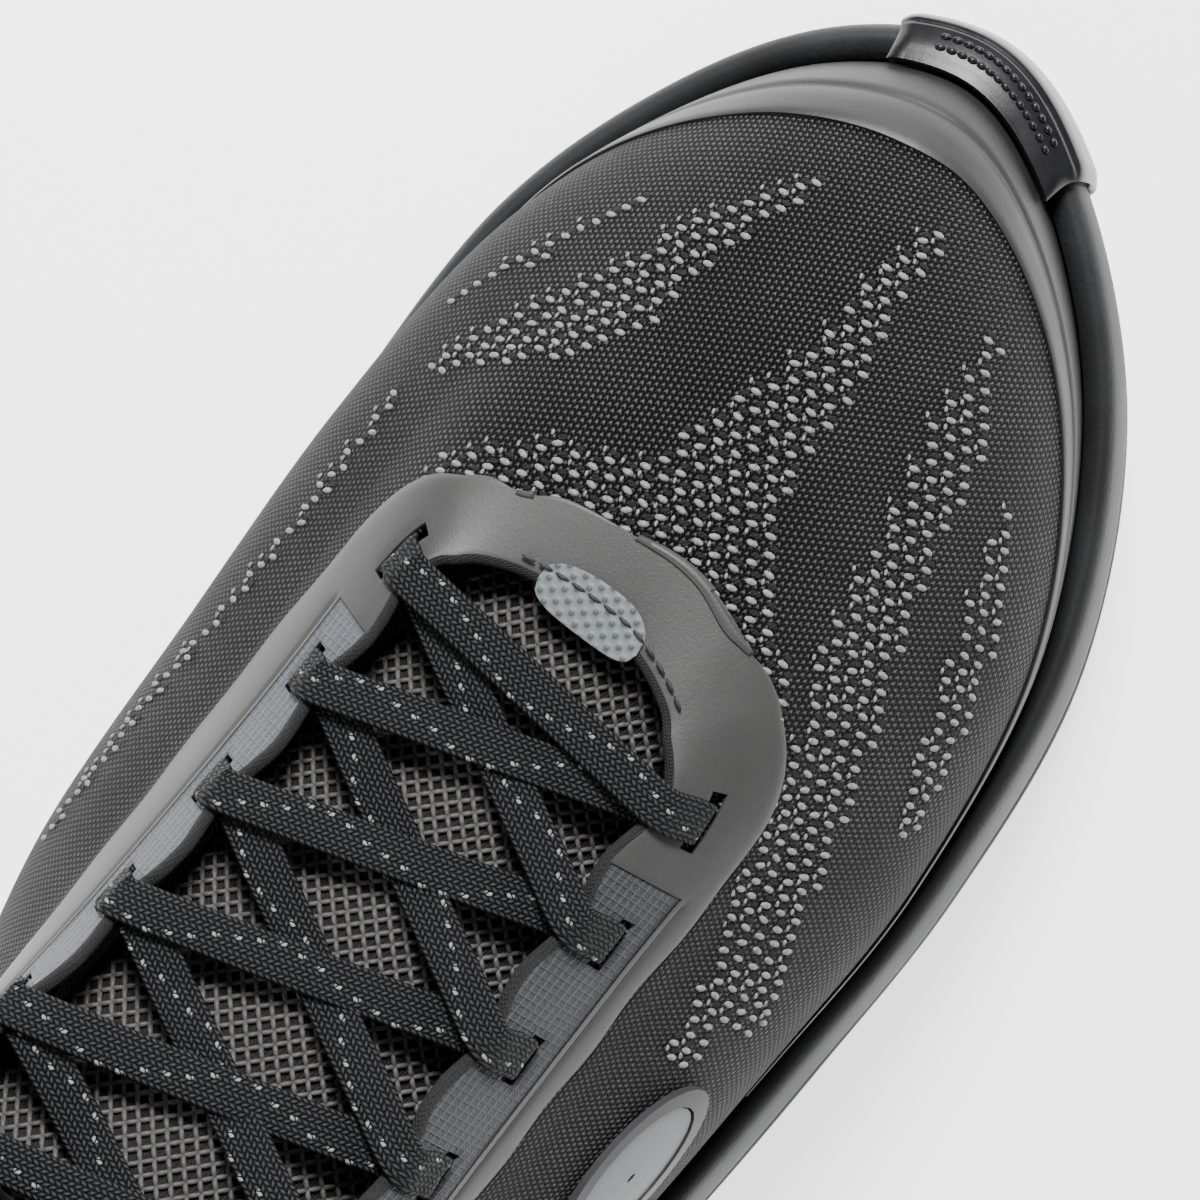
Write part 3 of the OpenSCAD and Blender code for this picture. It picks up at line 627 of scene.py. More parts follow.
def band_points(path, sides, width, thick, step=0.9, start=0.0):
    """Rings and UVs of a flat braid with rounded edges swept along a path."""
    n = len(path)
    fine = resample(path, 60 * n)
    run = np.r_[0, np.cumsum(np.linalg.norm(np.diff(fine, axis=0), axis=1))]
    count = max(8, int(round(run[-1] / step)) + 1)
    at = np.linspace(0, run[-1], count)
    centre = np.stack([np.interp(at, run, fine[:, k]) for k in range(3)], 1)
    wide = resample(sides, 60 * n)
    wide = np.stack([np.interp(at, run, wide[:, k]) for k in range(3)], 1)
    tangent = unit(np.gradient(centre, axis=0))
    wide = unit(wide - tangent * (wide * tangent).sum(1, keepdims=True))
    up = np.cross(tangent, wide)
    a = np.linspace(0, 2 * math.pi, BAND_SIDES, endpoint=False)
    flat = np.sign(np.cos(a)) * np.abs(np.cos(a)) ** 0.55 * width / 2
    high = np.sign(np.sin(a)) * np.abs(np.sin(a)) ** 0.7 * thick / 2
    rings = centre[:, None] + wide[:, None] * flat[None, :, None] + up[:, None] * high[None, :, None]
    uv = np.stack([np.repeat((at + start)[:, None], BAND_SIDES, 1),
                   np.repeat((flat + width / 2)[None], count, 0)], -1)
    return rings, uv, centre, run[-1]


def join_bands(name, bands, material="lace"):
    """One mesh of several swept bands."""
    vertices, faces, uvs, base = [], [], [], 0
    for rings, uv in bands:
        k, n = rings.shape[:2]
        faces += [(base + r * n + i, base + r * n + (i + 1) % n, base + (r + 1) * n + (i + 1) % n, base
                   + (r + 1) * n + i)
                  for r in range(k - 1) for i in range(n)]
        faces += [tuple(base + i for i in range(n - 1, -1, -1)),
                  tuple(base + (k - 1) * n + i for i in range(n))]
        vertices.append(rings.reshape(-1, 3))
        uvs.append(uv.reshape(-1, 2))
        base += k * n
    return add_mesh(name, np.concatenate(vertices), faces, material, np.concatenate(uvs))


def tube_mesh(name, path, radius, material, step=1.0, sides=10):
    """A round cord along a path."""
    centre, _ = even(path, step)
    tangent = unit(np.gradient(centre, axis=0))
    guide = np.array([0.0, 0.0, 1.0]) + 0.01
    wide = unit(np.cross(tangent, guide))
    up = np.cross(wide, tangent)
    a = np.linspace(0, 2 * math.pi, sides, endpoint=False)
    rings = centre[:, None] + radius * (wide[:, None] * np.cos(a)[None, :, None] + up[:, None]
                                        * np.sin(a)[None, :, None])
    return loft(name, rings, material)


def scatter(name, centres, along_dirs, normals, size, material, sides=8, rings=4):
    """Many small half-ellipsoids in one mesh: size is (length, width, height)."""
    length, width, height = size
    a = np.linspace(0, 2 * math.pi, sides, endpoint=False)
    level = np.linspace(0, 1, rings, endpoint=False)
    shape = [(math.cos(math.pi / 2 * k) * math.cos(x), math.cos(math.pi / 2 * k) * math.sin(x),
              math.sin(math.pi / 2 * k))
             for k in level for x in a] + [(0, 0, 1)]
    shape = np.array(shape) * np.array([length / 2, width / 2, height])
    cells = [(r * sides + i, r * sides + (i + 1) % sides, (r + 1) * sides + (i + 1) % sides, (r + 1) * sides
              + i)
             for r in range(rings - 1) for i in range(sides)]
    top = sides * rings
    cells += [((rings - 1) * sides + i, (rings - 1) * sides + (i + 1) % sides, top) for i in range(sides)]
    cells.append(tuple(range(sides - 1, -1, -1)))
    side_dirs = np.cross(normals, along_dirs)
    points = (centres[:, None] + along_dirs[:, None] * shape[None, :, :1] + side_dirs[:, None]
              * shape[None, :, 1:2]
              + normals[:, None] * shape[None, :, 2:])
    count = len(shape)
    faces = [tuple(i + k * count for i in f) for k in range(len(centres)) for f in cells]
    return add_mesh(name, points.reshape(-1, 3), faces, material)


def show_as(obj, body, node=None):
    """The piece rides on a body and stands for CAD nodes."""
    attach(obj, body)
    if node:
        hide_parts(*([node] if isinstance(node, str) else node))
    return obj


# ---------------------------------------------------------------------------------------------------
# Camera at the photograph's angle: above the forefoot, slightly from the lateral side
def place_camera():
    azimuth, elevation, roll = math.radians(-72), math.radians(81), math.radians(-72)
    distance, scale, across, down = 0.7, 7.5, 10.0, 0.0
    target = Vector(metres([200.0, 0.0, 70.0]))
    back = Vector((math.cos(elevation) * math.cos(azimuth), math.cos(elevation) * math.sin(azimuth),
                   math.sin(elevation)))
    right = (-back).cross(Vector((0, 0, 1))).normalized()
    up = right.cross(-back)
    turned = right * math.cos(roll) + up * math.sin(roll)
    high = -right * math.sin(roll) + up * math.cos(roll)
    camera = bpy.data.cameras.new("camera")
    camera.sensor_width = 36
    camera.lens = 36 * scale * distance * 1000 / 1200
    camera.shift_x = -across / 1200
    camera.shift_y = down / 1200
    camera.clip_start = 0.01
    obj = bpy.data.objects.new("camera", camera)
    bpy.context.scene.collection.objects.link(obj)
    obj.matrix_world = Matrix.Translation(target + back
                                          * distance) @ Matrix((turned, high, back)).transposed().to_4x4()
    bpy.context.scene.camera = obj


place_camera()

# Lace ends, the shoe's two free cords: the route is the CAD one
knot_row = along(TONGUE, 0.86)
KNOT = np.array([knot_row[0], 0, knot_row[1] + 5.5])


def end_path(side):
    x, _, z = KNOT
    return np.array([
        KNOT + [-3, side * 6, 1.4], KNOT + [-8, side * 18, 4], [x - 16, side * 34, z - 11],
        [x - 20, side * 44, z - 34], [x - 20, side * 47, z - 52], [x - 16, side * 49, z - 66]])


END_DIRS = np.array([[0.9, 0, 0.4]] * 3 + [[1, 0, 0.1]] * 3)
CORD_STEP = 1.2


def lace_tip(name, start, direction):
    """Clear sleeve over the end of a lace: a tube with two crimped rings and a rounded end."""
    stations = [(-1.5, 1.1), (0, 1.45), (2, 1.5), (3, 1.28), (4, 1.5), (14, 1.5), (15, 1.28), (16, 1.5),
                (17.4, 1.4), (18, 0.9)]
    wide = unit(np.cross(direction, [0.0, 1.0, 0.0]))
    up = np.cross(direction, wide)
    a = np.linspace(0, 2 * math.pi, 20, endpoint=False)
    rings = [start + direction * s + r * (wide * np.cos(a)[:, None] + up * np.sin(a)[:, None]) for s,
             r in stations]
    return loft(name, rings, "tip")


for side, label in ((1, "left"), (-1, "right")):
    path = end_path(side)
    rings, uv, centre, length = band_points(path, END_DIRS, LACE_W, LACE_T, CORD_STEP)
    end = show_as(join_bands("lace_end_" + label + "_braid", [(rings, uv)]), "shoe", "lace_end_" + label)
    heading = unit(path[5] - path[4])
    tip = show_as(lace_tip("lace_tip_" + label, path[5] + heading * 0.2, heading), "shoe", "aglets")

# ---------------------------------------------------------------------------------------------------
# Millimetre map of the upper: U runs toe-ward over the crest, W runs round each cross section
CORE_Z = 34.0
ANGLES = np.linspace(-2.6, 2.6, 105)
STATIONS = np.arange(-4.0, 298.0, 3.0)


def build_unroll():
    """Radius of the upper by station and angle, then arc length round each section and over the crest."""
    t, v = np.meshgrid(np.linspace(0, ROWS, 900), np.linspace(0, 1, 120), indexing="ij")
    p = upper0(t, v).reshape(-1, 3)
    angle = np.arctan2(p[:, 1], p[:, 2] - CORE_Z)
    radius = np.hypot(p[:, 1], p[:, 2] - CORE_Z)
    row = np.clip(np.round((p[:, 0] - STATIONS[0]) / 3.0).astype(int), 0, len(STATIONS) - 1)
    arcs, crest = [], []
    for k in range(len(STATIONS)):
        pick = row == k
        if pick.sum() < 8:
            arcs.append(arcs[-1] if arcs else ANGLES * 40)
            crest.append(crest[-1] if crest else 60.0)
            continue
        order = np.argsort(angle[pick])
        r = np.interp(ANGLES, angle[pick][order], radius[pick][order])
        r = np.convolve(np.pad(r, 4, mode="edge"), np.ones(9) / 9, mode="valid")
        step = np.hypot(r, np.gradient(r, ANGLES)) * (ANGLES[1] - ANGLES[0])
        arc = np.cumsum(step)
        arcs.append(arc - arc[len(ANGLES) // 2])
        crest.append(r[len(ANGLES) // 2])
    arcs = np.array(arcs)
    kernel = np.ones(7) / 7
    arcs = np.stack([np.convolve(np.pad(arcs[:, j], 3, mode="edge"), kernel, mode="valid")
                     for j in range(len(ANGLES))], 1)
    crest = np.convolve(np.pad(crest, 3, mode="edge"), kernel, mode="valid")
    run = np.r_[0, np.cumsum(np.minimum(np.hypot(3.0, np.diff(crest)), 6.0))]
    return arcs, run


ARCS, CREST_RUN = build_unroll()


def unroll(points):
    """(U, W) in millimetres of points on the upper."""
    p = np.asarray(points, float)
    angle = np.clip(np.arctan2(p[..., 1], p[..., 2] - CORE_Z), ANGLES[0], ANGLES[-1])
    s = np.clip((p[..., 0] - STATIONS[0]) / 3.0, 0, len(STATIONS) - 1.001)
    i = np.floor(s).astype(int)
    f = s - i
    q = (angle - ANGLES[0]) / (ANGLES[1] - ANGLES[0])
    j = np.minimum(np.floor(q).astype(int), len(ANGLES) - 2)
    g = q - j
    low = ARCS[i, j] * (1 - g) + ARCS[i, j + 1] * g
    high = ARCS[i + 1, j] * (1 - g) + ARCS[i + 1, j + 1] * g
    return np.stack([CREST_RUN[i] * (1 - f) + CREST_RUN[i + 1] * f, low * (1 - f) + high * f], -1)


# Section lines that hit each slot's two ends, with finer lines between them
def slot_lines(side):
    order = range(SLOTS) if side > 0 else range(SLOTS - 1, -1, -1)
    steps = (SLOT / 2, -SLOT / 2, -PITCH / 2) if side > 0 else (-PITCH / 2, -SLOT / 2, SLOT / 2)
    return [throat_t(slot_x(i, side) + d, side) for i in order for d in steps]


def densify(values, gap):
    fine = [values[0]]
    for a, b in zip(values, values[1:]):
        n = max(1, int(math.ceil(abs(b - a) / gap)))
        fine += [a + (b - a) * k / n for k in range(1, n + 1)]
    return np.array(fine)


MEDIAL, LATERAL = slot_lines(1), slot_lines(-1)
THROAT_T = densify([t - ROWS for t in LATERAL] + [0.0] + MEDIAL, 0.045)
ALL_T = densify([0.0] + MEDIAL + [float(HEEL)] + LATERAL + [float(ROWS)], 0.06)[:-1]


def near_slot(t):
    """True where a section lies between the two ends of a slot."""
    r = section(t)
    return min(abs(r[2] - slot_x(i, r[3])) for i in range(SLOTS)) < SLOT / 2 - 0.02


def scallop(t):
    """Distance in from the throat edge of the bound edge: it dips at each slot and juts between them."""
    r = section(t)
    side = np.where(r[..., 3] < 0, -SLOT_SKEW, 0)
    wave = np.cos(2 * math.pi * (r[..., 2] - FIRST_SLOT - side) / PITCH)
    return 0.7 + 0.9 * wave * ease((193 - r[..., 2]) / 8)


def stack_v(t, parts):
    """Part-way values up the upper at one section from (distance in, lines to the next) pairs."""
    values = []
    for (d0, count), (d1, _) in zip(parts, parts[1:]):
        values += [float(v_in(t, mix(d0, d1, k / count))) for k in range(count)]
    return values + [float(v_in(t, parts[-1][0]))]


# ---------------------------------------------------------------------------------------------------
# Knit upper
def make_knit():
    low = list(np.linspace(0, 0.8, 34))
    vs = []
    for t in ALL_T:
        d = float(slot_d(t))
        top = stack_v(t, [(d + SLOT_GAP, 1), (d - SLOT_GAP, 3), (float(scallop(t)), 0)])
        gap = top[0] - low[-1]
        vs.append(low + [low[-1] + gap / 3, low[-1] + gap * 2 / 3] + top)
    vs = np.array(vs)
    grid = upper(ALL_T[:, None] + 0 * vs, vs, 0)
    hole = len(low) + 2
    middles = [(ALL_T[i] + (ALL_T[(i + 1) % len(ALL_T)] + (ROWS if i == len(ALL_T) - 1 else 0))) / 2
               for i in range(len(ALL_T))]
    keep = [[not (j == hole and near_slot(m)) for j in range(vs.shape[1] - 1)] for m in middles]
    return show_as(sheet_mesh("knit", grid, "knit", KNIT, keep, unroll(grid), loop=True), "shoe",
                   "knit_upper")


make_knit()

# Flame-like bands of open stitches: a centre line in plan with its half width at each point
FLAMES = [
    [(247, 30, 0.8), (232, 38, 1.5), (219, 45, 0.8)],
    [(261, 12, 1), (246, 19, 3.2), (235, 22, 5.5), (226, 28, 4.6), (212, 40, 1.5)],
    [(266, -6, 1), (254, -5, 2.6), (240, -6, 4.2), (228, -4, 6.5), (218, -4, 10), (206, -7, 15)],
    [(201, 27, 3), (210, 15, 4), (213, 5, 5), (212, -10, 6), (202, -24, 4)],
    [(258, -20, 1), (245, -24, 3.6), (227, -28, 3.6), (214, -31, 4.6), (203, -35, 4.4), (187, -40, 3.6),
     (165, -46, 2.5)],
    [(241, -35, 1), (229, -40, 2.4), (216, -44, 2.4), (198, -49, 1)],
    [(200, -33, 1.5), (186, -37, 2.2), (171, -41, 2.2), (156, -43, 1.6)],
    [(206, 42, 0.7), (179, 43, 0.9), (152, 45, 0.9), (128, 45, 0.7)]]
ROW_STEP, IN_ROW = 2.1, 2.9


def in_flame(xy):
    """How deep inside a flame band a place is, in millimetres; below zero is outside."""
    best = np.full(len(xy), -9.0)
    for flame in FLAMES:
        line = np.array(flame, float)
        for a, b in zip(line, line[1:]):
            d = b[:2] - a[:2]
            f = np.clip(((xy - a[:2]) @ d) / (d @ d), 0, 1)
            near = np.linalg.norm(xy - a[:2] - f[:, None] * d, axis=1)
            best = np.maximum(best, mix(a[2], b[2], f) - near)
    return best


def make_open_stitches():
    """Staggered lattice in the upper's own map: a flat near-black disc of painted shade for each hole, and a
    light yarn beside it.
    """
    t, v = np.meshgrid(np.linspace(-6.6, 6.6, 1400), np.linspace(0.08, 0.99, 420), indexing="ij")
    p = upper0(t, v)
    uw = unroll(p)
    col = uw[..., 0] / ROW_STEP
    line = np.round(col).astype(int)
    cell = uw[..., 1] / IN_ROW - 0.5 * (line % 2)
    slot_no = np.round(cell).astype(int)
    off = ((col - line) * ROW_STEP) ** 2 + ((cell - slot_no) * IN_ROW) ** 2
    inside = (in_flame(p[..., :2].reshape(-1, 2)).reshape(off.shape) > 0) & (v < v_in(t, film_d(t)
                                                                                      - 0.5)) & (off < 0.25)
    best = {}
    for i, j in zip(*np.nonzero(inside)):
        key = (int(line[i, j]), int(slot_no[i, j]))
        if key not in best or off[i, j] < best[key][0]:
            best[key] = (off[i, j], t[i, j], v[i, j])
    keys = sorted(best)
    tv = np.array([best[k][1:] for k in keys])
    centre = upper0(tv[:, 0], tv[:, 1])
    normal = upper_normal(tv[:, 0], tv[:, 1])
    toe = unit(np.array([1.0, 0, 0]) - normal * normal[:, :1])
    side = np.cross(normal, toe)
    rng = np.random.default_rng(7)
    turn = np.radians(rng.normal(-8, 9, len(keys)))[:, None]
    lie = side * np.cos(turn) + toe * np.sin(turn)
    jitter = rng.normal(0, 0.08, (len(keys), 3))
    yarn = scatter("open_stitches", centre - toe * 0.35 + normal * 0.02 + jitter * 0.6, lie, normal,
                   (1.75, 0.95, 0.42), "light_yarn")
    show_as(yarn, "shoe", None)
    # each hole is a thin near-black disc on the surface: painted shade where the open stitch is deep
    hole_shade = scatter("stitch_hole_shade", centre + toe * 0.75 + jitter * 0.5, lie, normal, (1.6, 0.85, 0.12),
                    "hole")
    show_as(hole_shade, "shoe", None)
    bits = centre + side * 1.5 + toe * 0.5 + normal * 0.05
    pick = rng.random(len(keys)) < 0.55
    show_as(scatter("stitch_ends", bits[pick], unit(toe + side * 0.3)[pick], normal[pick], (1.0, 0.55, 0.3),
                    "light_yarn", 6, 3),
            "shoe", None)


make_open_stitches()


# ---------------------------------------------------------------------------------------------------
# Throat film, its windows, the bound edge and the stitches
def make_throat():
    first_rows = (len([t for t in THROAT_T if t < LATERAL[-3] - ROWS]),
                  len([t for t in THROAT_T if t <= MEDIAL[2] + 1e-6]))
    vs = []
    for t in THROAT_T:
        d, w, f = float(slot_d(t)), float(window_d(t)), float(film_d(t))
        vs.append(stack_v(t, [(f, 3), (w + 1.7, 1), (w + 1.25, 1), (w + 0.9, 1), (w + 0.55, 1), (w, 1),
                              (d + SLOT_GAP, 1), (d - SLOT_GAP, 4), (float(scallop(t)), 0)]))
    vs = np.array(vs)
    lift = np.full(vs.shape, BOND + FILM)
    rear = np.array([not first_rows[0] <= i < first_rows[1] for i in range(len(THROAT_T))])
    lift[rear, 5] -= 0.3
    lift[rear, 4] -= 0.1
    lift[rear, 6] -= 0.1
    lift[:, 0] -= 0.15
    grid = upper(THROAT_T[:, None] + 0 * vs, vs, lift)
    window_line, slot_line = 7, 8
    keep = []
    for i in range(len(THROAT_T) - 1):
        middle = (THROAT_T[i] + THROAT_T[i + 1]) / 2
        front = first_rows[0] <= i < first_rows[1] - 1
        keep.append([(j < window_line) or (front and not (j == slot_line and near_slot(middle)))
                     for j in range(vs.shape[1] - 1)])
    film = sheet_mesh("throat_film", grid, "overlay", FILM, keep, unroll(grid), bevel=0.2)
    show_as(film, "shoe", "eyestay_overlay")
    for label, pick, material in (("medial", THROAT_T > MEDIAL[2] - 0.02, "light_ripstop"),
                                  ("lateral", THROAT_T < LATERAL[-3] - ROWS + 0.02, "dark_ripstop")):
        ts = THROAT_T[pick]
        rows = np.array([stack_v(t, [(float(window_d(t)) + 0.3, 2), (float(slot_d(t)) + SLOT_GAP, 1),
                                     (float(slot_d(t)) - SLOT_GAP, 5), (float(scallop(t)) - 0.1, 0)])
                                     for t in ts])
        panel = upper(ts[:, None] + 0 * rows, rows, BOND + 0.3)
        gaps = [[not (j == 2 and near_slot((a + b) / 2)) for j in range(rows.shape[1] - 1)] for a,
                b in zip(ts, ts[1:])]
        piece = sheet_mesh("window_" + label + "_cloth", panel, material, 0.3, gaps, unroll(panel))
        show_as(piece, "shoe", "window_" + label)
    edge_t = THROAT_T[::3]
    edge = upper(edge_t, np.array([float(v_in(t, float(scallop(t)) + 0.1)) for t in edge_t]), -0.3)
    show_as(tube_mesh("throat_binding", edge, 0.95, "binding", 0.8), "shoe", None)


def make_stitches(name, path, step, size, material, body, lift=None):
    """Running stitches along a path on the upper."""
    centre, _ = even(path, step)
    tangent = unit(np.gradient(centre, axis=0))
    normal = lift if lift is not None else np.array([0.0, 0.0, 1.0])
    normal = unit(normal - tangent * (tangent * normal).sum(1, keepdims=True))
    return show_as(scatter(name, centre, tangent, normal, size, material), body)


def make_tab():
    """Light dotted reinforcement on the front edge of the throat."""
    a = np.linspace(-1, 1, 45)[:, None]
    b = np.linspace(0, 1, 16)[None]
    reach = (1 - np.abs(a) ** 2.6) ** (1 / 2.6)
    ts = -0.15 + 1.12 * a + 0 * b
    edge = np.linalg.norm(upper0(ts, 1.0) - upper0(ts, 0.9), axis=-1)
    v = 1 - 0.1 * mix(0.6 + 4.2 * reach, 0.4 - 3.3 * reach, b) / edge
    lift = FILM + BOND * 2 + 0.5 - 0.2 * np.abs(a) ** 4 + 0 * b
    grid = upper(ts, v, lift)
    uv = np.stack([grid[..., 0], grid[..., 1]], -1)
    show_as(sheet_mesh("light_tab", grid, "tab", 0.5, uv=uv, bevel=0.12), "shoe", "throat_tab")


make_throat()
make_tab()
FRONT_T = np.linspace(-2.5, 1.3, 60)
FRONT_V = np.array([float(v_in(t, float(scallop(t)) + 1.6)) for t in FRONT_T])
make_stitches("throat_stitches", upper(FRONT_T, FRONT_V, FILM + 2 * BOND + 0.5), 2.7, (2.3, 0.6, 0.35),
              "thread", "shoe")

# ---------------------------------------------------------------------------------------------------
# Toe film, side strip and heel film
GUARD = np.array([
    [-5.2, 0.12], [-4.6, 0.16], [-4, 0.19], [-3.4, 0.2], [-2.8, 0.21], [-2.2, 0.24], [-1.6, 0.27], [-1, 0.31],
    [-0.5, 0.34], [0, 0.37], [0.5, 0.37], [1, 0.36], [1.5, 0.34], [2, 0.29], [2.5, 0.22], [3, 0.14],
    [3.4, 0.1]])


def make_toe_film():
    s = np.linspace(GUARD[0, 0], GUARD[-1, 0], 230)
    top = np.interp(s, GUARD[:, 0], GUARD[:, 1])
    top = np.convolve(np.pad(top, 6, mode="edge"), np.ones(13) / 13, mode="valid")
    part = np.r_[np.linspace(0, 0.66, 14), 0.7, 0.72, 0.74, 0.76, 0.8, np.linspace(0.86, 1, 5)]
    v = 0.03 + (top[:, None] - 0.03) * part[None]
    lift = np.full(v.shape, BOND + FILM)
    lift[:, 15] -= 0.25
    lift[:, 16] -= 0.42
    lift[:, 17] -= 0.25
    lift[:, -1] -= 0.2
    grid = upper(s[:, None] + 0 * v, v, lift)
    show_as(sheet_mesh("toe_film", grid, "guard", FILM, uv=unroll(grid), bevel=0.2), "shoe", "toe_guard")


def make_patch(name, node, ts, low, high, material, ribs=0):
    """A film on the side of the upper; ribs are raised lines along it."""
    lines = 8 if not ribs else ribs * 6 + 1
    v = low[:, None] + (high - low)[:, None] * np.linspace(0, 1, lines)[None]
    lift = np.full(v.shape, BOND + FILM)
    if ribs:
        lift += 0.22 * np.cos(np.linspace(0, ribs * 2 * math.pi, lines))[None]
    lift[:, [0, -1]] -= 0.2
    grid = upper(ts[:, None] + 0 * v, v, lift)
    show_as(sheet_mesh(name, grid, material, FILM, uv=unroll(grid), bevel=0.15), "shoe", node)


make_toe_film()
strip_t = np.linspace(3.6, 6.66, 120)
make_patch("side_strip", "medial_strip", strip_t, 0.1 + 0 * strip_t, 0.2 - 0.06 * ease((strip_t - 5.4) / 1.2),
           "guard", 3)
heel_t = np.linspace(8.1, 13.9, 160)
make_patch("heel_film", "heel_overlay", heel_t, 0.18 + 0 * heel_t, 0.36 + 0.2
           * np.sin((heel_t - 8.1) / 5.8 * math.pi), "guard")


# ---------------------------------------------------------------------------------------------------
# Sole: midsole with a rolled top edge and a sculpted side, CAD rubber pads, toe bumper
def make_midsole():
    t = np.linspace(0, ROWS, 330, endpoint=False)
    x = outline(t)[:, 0]
    base, top = ground(x) + RUBBER, rim(x)
    fade = ease((262 - x) / 30) * ease((x - 8) / 20)

    def ring(d, z):
        return np.concatenate([inset(t, d + 0 * t), np.asarray(z)[:, None]], 1)
    levels = [(8, base + 0.4), (2.6, base + 0.4), (1.2, base + 0.9), (0.5, mix(base, top, 0.16)),
              (0.1, mix(base, top, 0.3)),
              (0, mix(base, top, 0.44)), (0.75, mix(base, top, 0.475)), (0.75, mix(base, top, 0.5)),
              (0.05, mix(base, top, 0.535)),
              (0.1, mix(base, top, 0.64)), (0.5, mix(base, top, 0.77)), (0.9, top - 2.2), (1.4, top - 1.0),
              (2.1, top - 0.3),
              (2.8, top), (3.4, top - 0.15)]
    rings = []
    for k, (d, z) in enumerate(levels):
        wave = 0.35 * np.sin(x / 9) * fade if 3 < k < 8 else 0
        shallow = -0.6 * (1 - fade) if k in (6, 7) else 0
        rings.append(ring(d + shallow, z + wave * 3))
    v0 = v_at(t, rim(inset(t, 3 + 0 * t)[:, 0]) - 1)
    rings.append(upper(t, v0, FILM + BOND + 0.35))
    rings.append(upper(t, 0.04 + 0 * t, FILM + BOND + 0.2))
    rings.append(ring(6.4, bed(x) - 0.2))
    rings.append(ring(6.6, bed(x) - 1.7))
    rings = np.array(rings)
    obj = loft("midsole_foam", rings, "foam_sole", closed_ends=False)
    add_caps(obj, rings)
    return show_as(obj, "shoe", "midsole")


def add_caps(obj, rings):
    """Closes a loft with strips between mirrored points of its first and last ring."""
    n = rings.shape[1]
    half = n // 2
    mesh = obj.data
    faces = [tuple(p.vertices) for p in mesh.polygons]
    last = (len(rings) - 1) * n
    for i in range(half):
        a, b, c, d = i, i + 1, (n - i - 1) % n, (n - i) % n
        quad = [a, b, c, d]
        unique = []
        for q in quad:
            if q not in unique:
                unique.append(q)
        if len(unique) > 2:
            faces.append(tuple(unique))
            faces.append(tuple(last + q for q in reversed(unique)))
    vertices = [tuple(v.co) for v in mesh.vertices]
    fresh = bpy.data.meshes.new(mesh.name)
    fresh.from_pydata(vertices, [], faces)
    fresh.materials.append(mesh.materials[0])
    fresh.polygons.foreach_set("use_smooth", [True] * len(fresh.polygons))
    obj.data = fresh


def make_bumper():
    """Glossy wrap-up over the toe tip with a recessed seam line and rows of small studs."""
    s = np.linspace(-0.95, 0.65, 80)
    x = outline(s)[:, 0]
    base, top = ground(x) + RUBBER, rim(x)

    def ring(d, z):
        return np.concatenate([inset(s, d + 0 * s), np.asarray(z)[:, None]], 1)
    tall = upper(s, v_at(s, top + 3.4), FILM + BOND + 1.7)
    keys = [ring(1.2, ground(inset(s, 2.6 + 0 * s)[:, 0]) + RUBBER + 0.3), ring(-1.5, mix(base, top, 0.18)),
            ring(-2, mix(base, top, 0.45)),
            ring(-1.5, mix(base, top, 0.75)), ring(-0.4, top + 0.4), ring(2.0, top + 2.4), tall]
    keys = np.array(keys)
    fine = np.array([resample(keys[:, i], 49) for i in range(len(s))])
    edge = np.minimum(1, np.minimum(np.arange(len(s)), np.arange(len(s))[::-1]) / 5)[:, None]
    centre = fine.mean((0, 1))
    normal = unit(np.cross(np.gradient(fine, axis=0), np.gradient(fine, axis=1)))
    if ((fine - centre) * normal).sum() < 0:
        normal = -normal
    level = np.linspace(0, 1, 49)[None]
    groove = 0.5 * np.exp(-((level - 0.72) / 0.018) ** 2)
    lip = 0.35 * ease((level - 0.9) / 0.08)
    fine = fine + normal * (-(groove + lip) * edge - 0.9 * (1 - edge) ** 2)[..., None]
    obj = sheet_mesh("toe_bumper_rubber", fine, "bumper", 1.2, bevel=0.3)
    fix_normals(obj, centre - np.array([20.0, 0, 0]))
    show_as(obj, "shoe", "toe_bumper")
    spots, ups, lies = [], [], []
    for j in (40, 43):
        for i in range(12, len(s) - 12, 4):
            spots.append(fine[i, j])
            ups.append(normal[i, j])
            lies.append(unit(fine[i + 1, j] - fine[i - 1, j]))
    show_as(scatter("toe_studs", np.array(spots), np.array(lies), np.array(ups), (1.6, 1.1, 0.55), "bumper"),
            "shoe", None)


def fix_normals(obj, inside):
    """Turns every face away from a point inside the shoe."""
    mesh = obj.data
    centre = Vector(metres(inside))
    if sum((p.center - centre).dot(p.normal) * p.area for p in mesh.polygons) < 0:
        mesh.flip_normals()


make_midsole()
make_bumper()


def dress(node, material, bevel=0.0, segments=2):
    """A CAD node that stays on show takes a material and softer edges."""
    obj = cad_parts[node]
    obj.data.materials.clear()
    obj.data.materials.append(MATERIALS[material])
    if bevel:
        soft = obj.modifiers.new("soft edge", "BEVEL")
        soft.width = bevel / 1000
        soft.segments = segments
        soft.limit_method = "ANGLE"
        soft.angle_limit = math.radians(35)
    return obj


for pad in ("outsole_forefoot", "outsole_heel_lateral", "outsole_heel_medial"):
    dress(pad, "rubber", 0.5)
dress("strobel_board", "board")
dress("toe_puff", "puff")
dress("heel_counter", "puff")


# ---------------------------------------------------------------------------------------------------
# Inside: insole, collar padding with its lining
def make_insole():
    t = np.linspace(0, ROWS, 240, endpoint=False)
    x = outline(t)[:, 0]

    def ring(d, z):
        return np.concatenate([inset(t, d + 0 * t), np.asarray(z)[:, None]], 1)
    thick = 4.0
    rings = np.array([ring(9.2, bed(x)), ring(8.8, bed(x) + thick - 1.1), ring(9.3, bed(x) + thick - 0.4),
                      ring(10.4, bed(x) + thick), ring(14, bed(x) + thick), ring(14.8, bed(x) + thick - 0.25),
                      ring(15.6, bed(x) + thick)])
    obj = loft("insole_cloth", rings, "insole", closed_ends=False)
    add_caps(obj, rings)
    show_as(obj, "shoe", "insole")


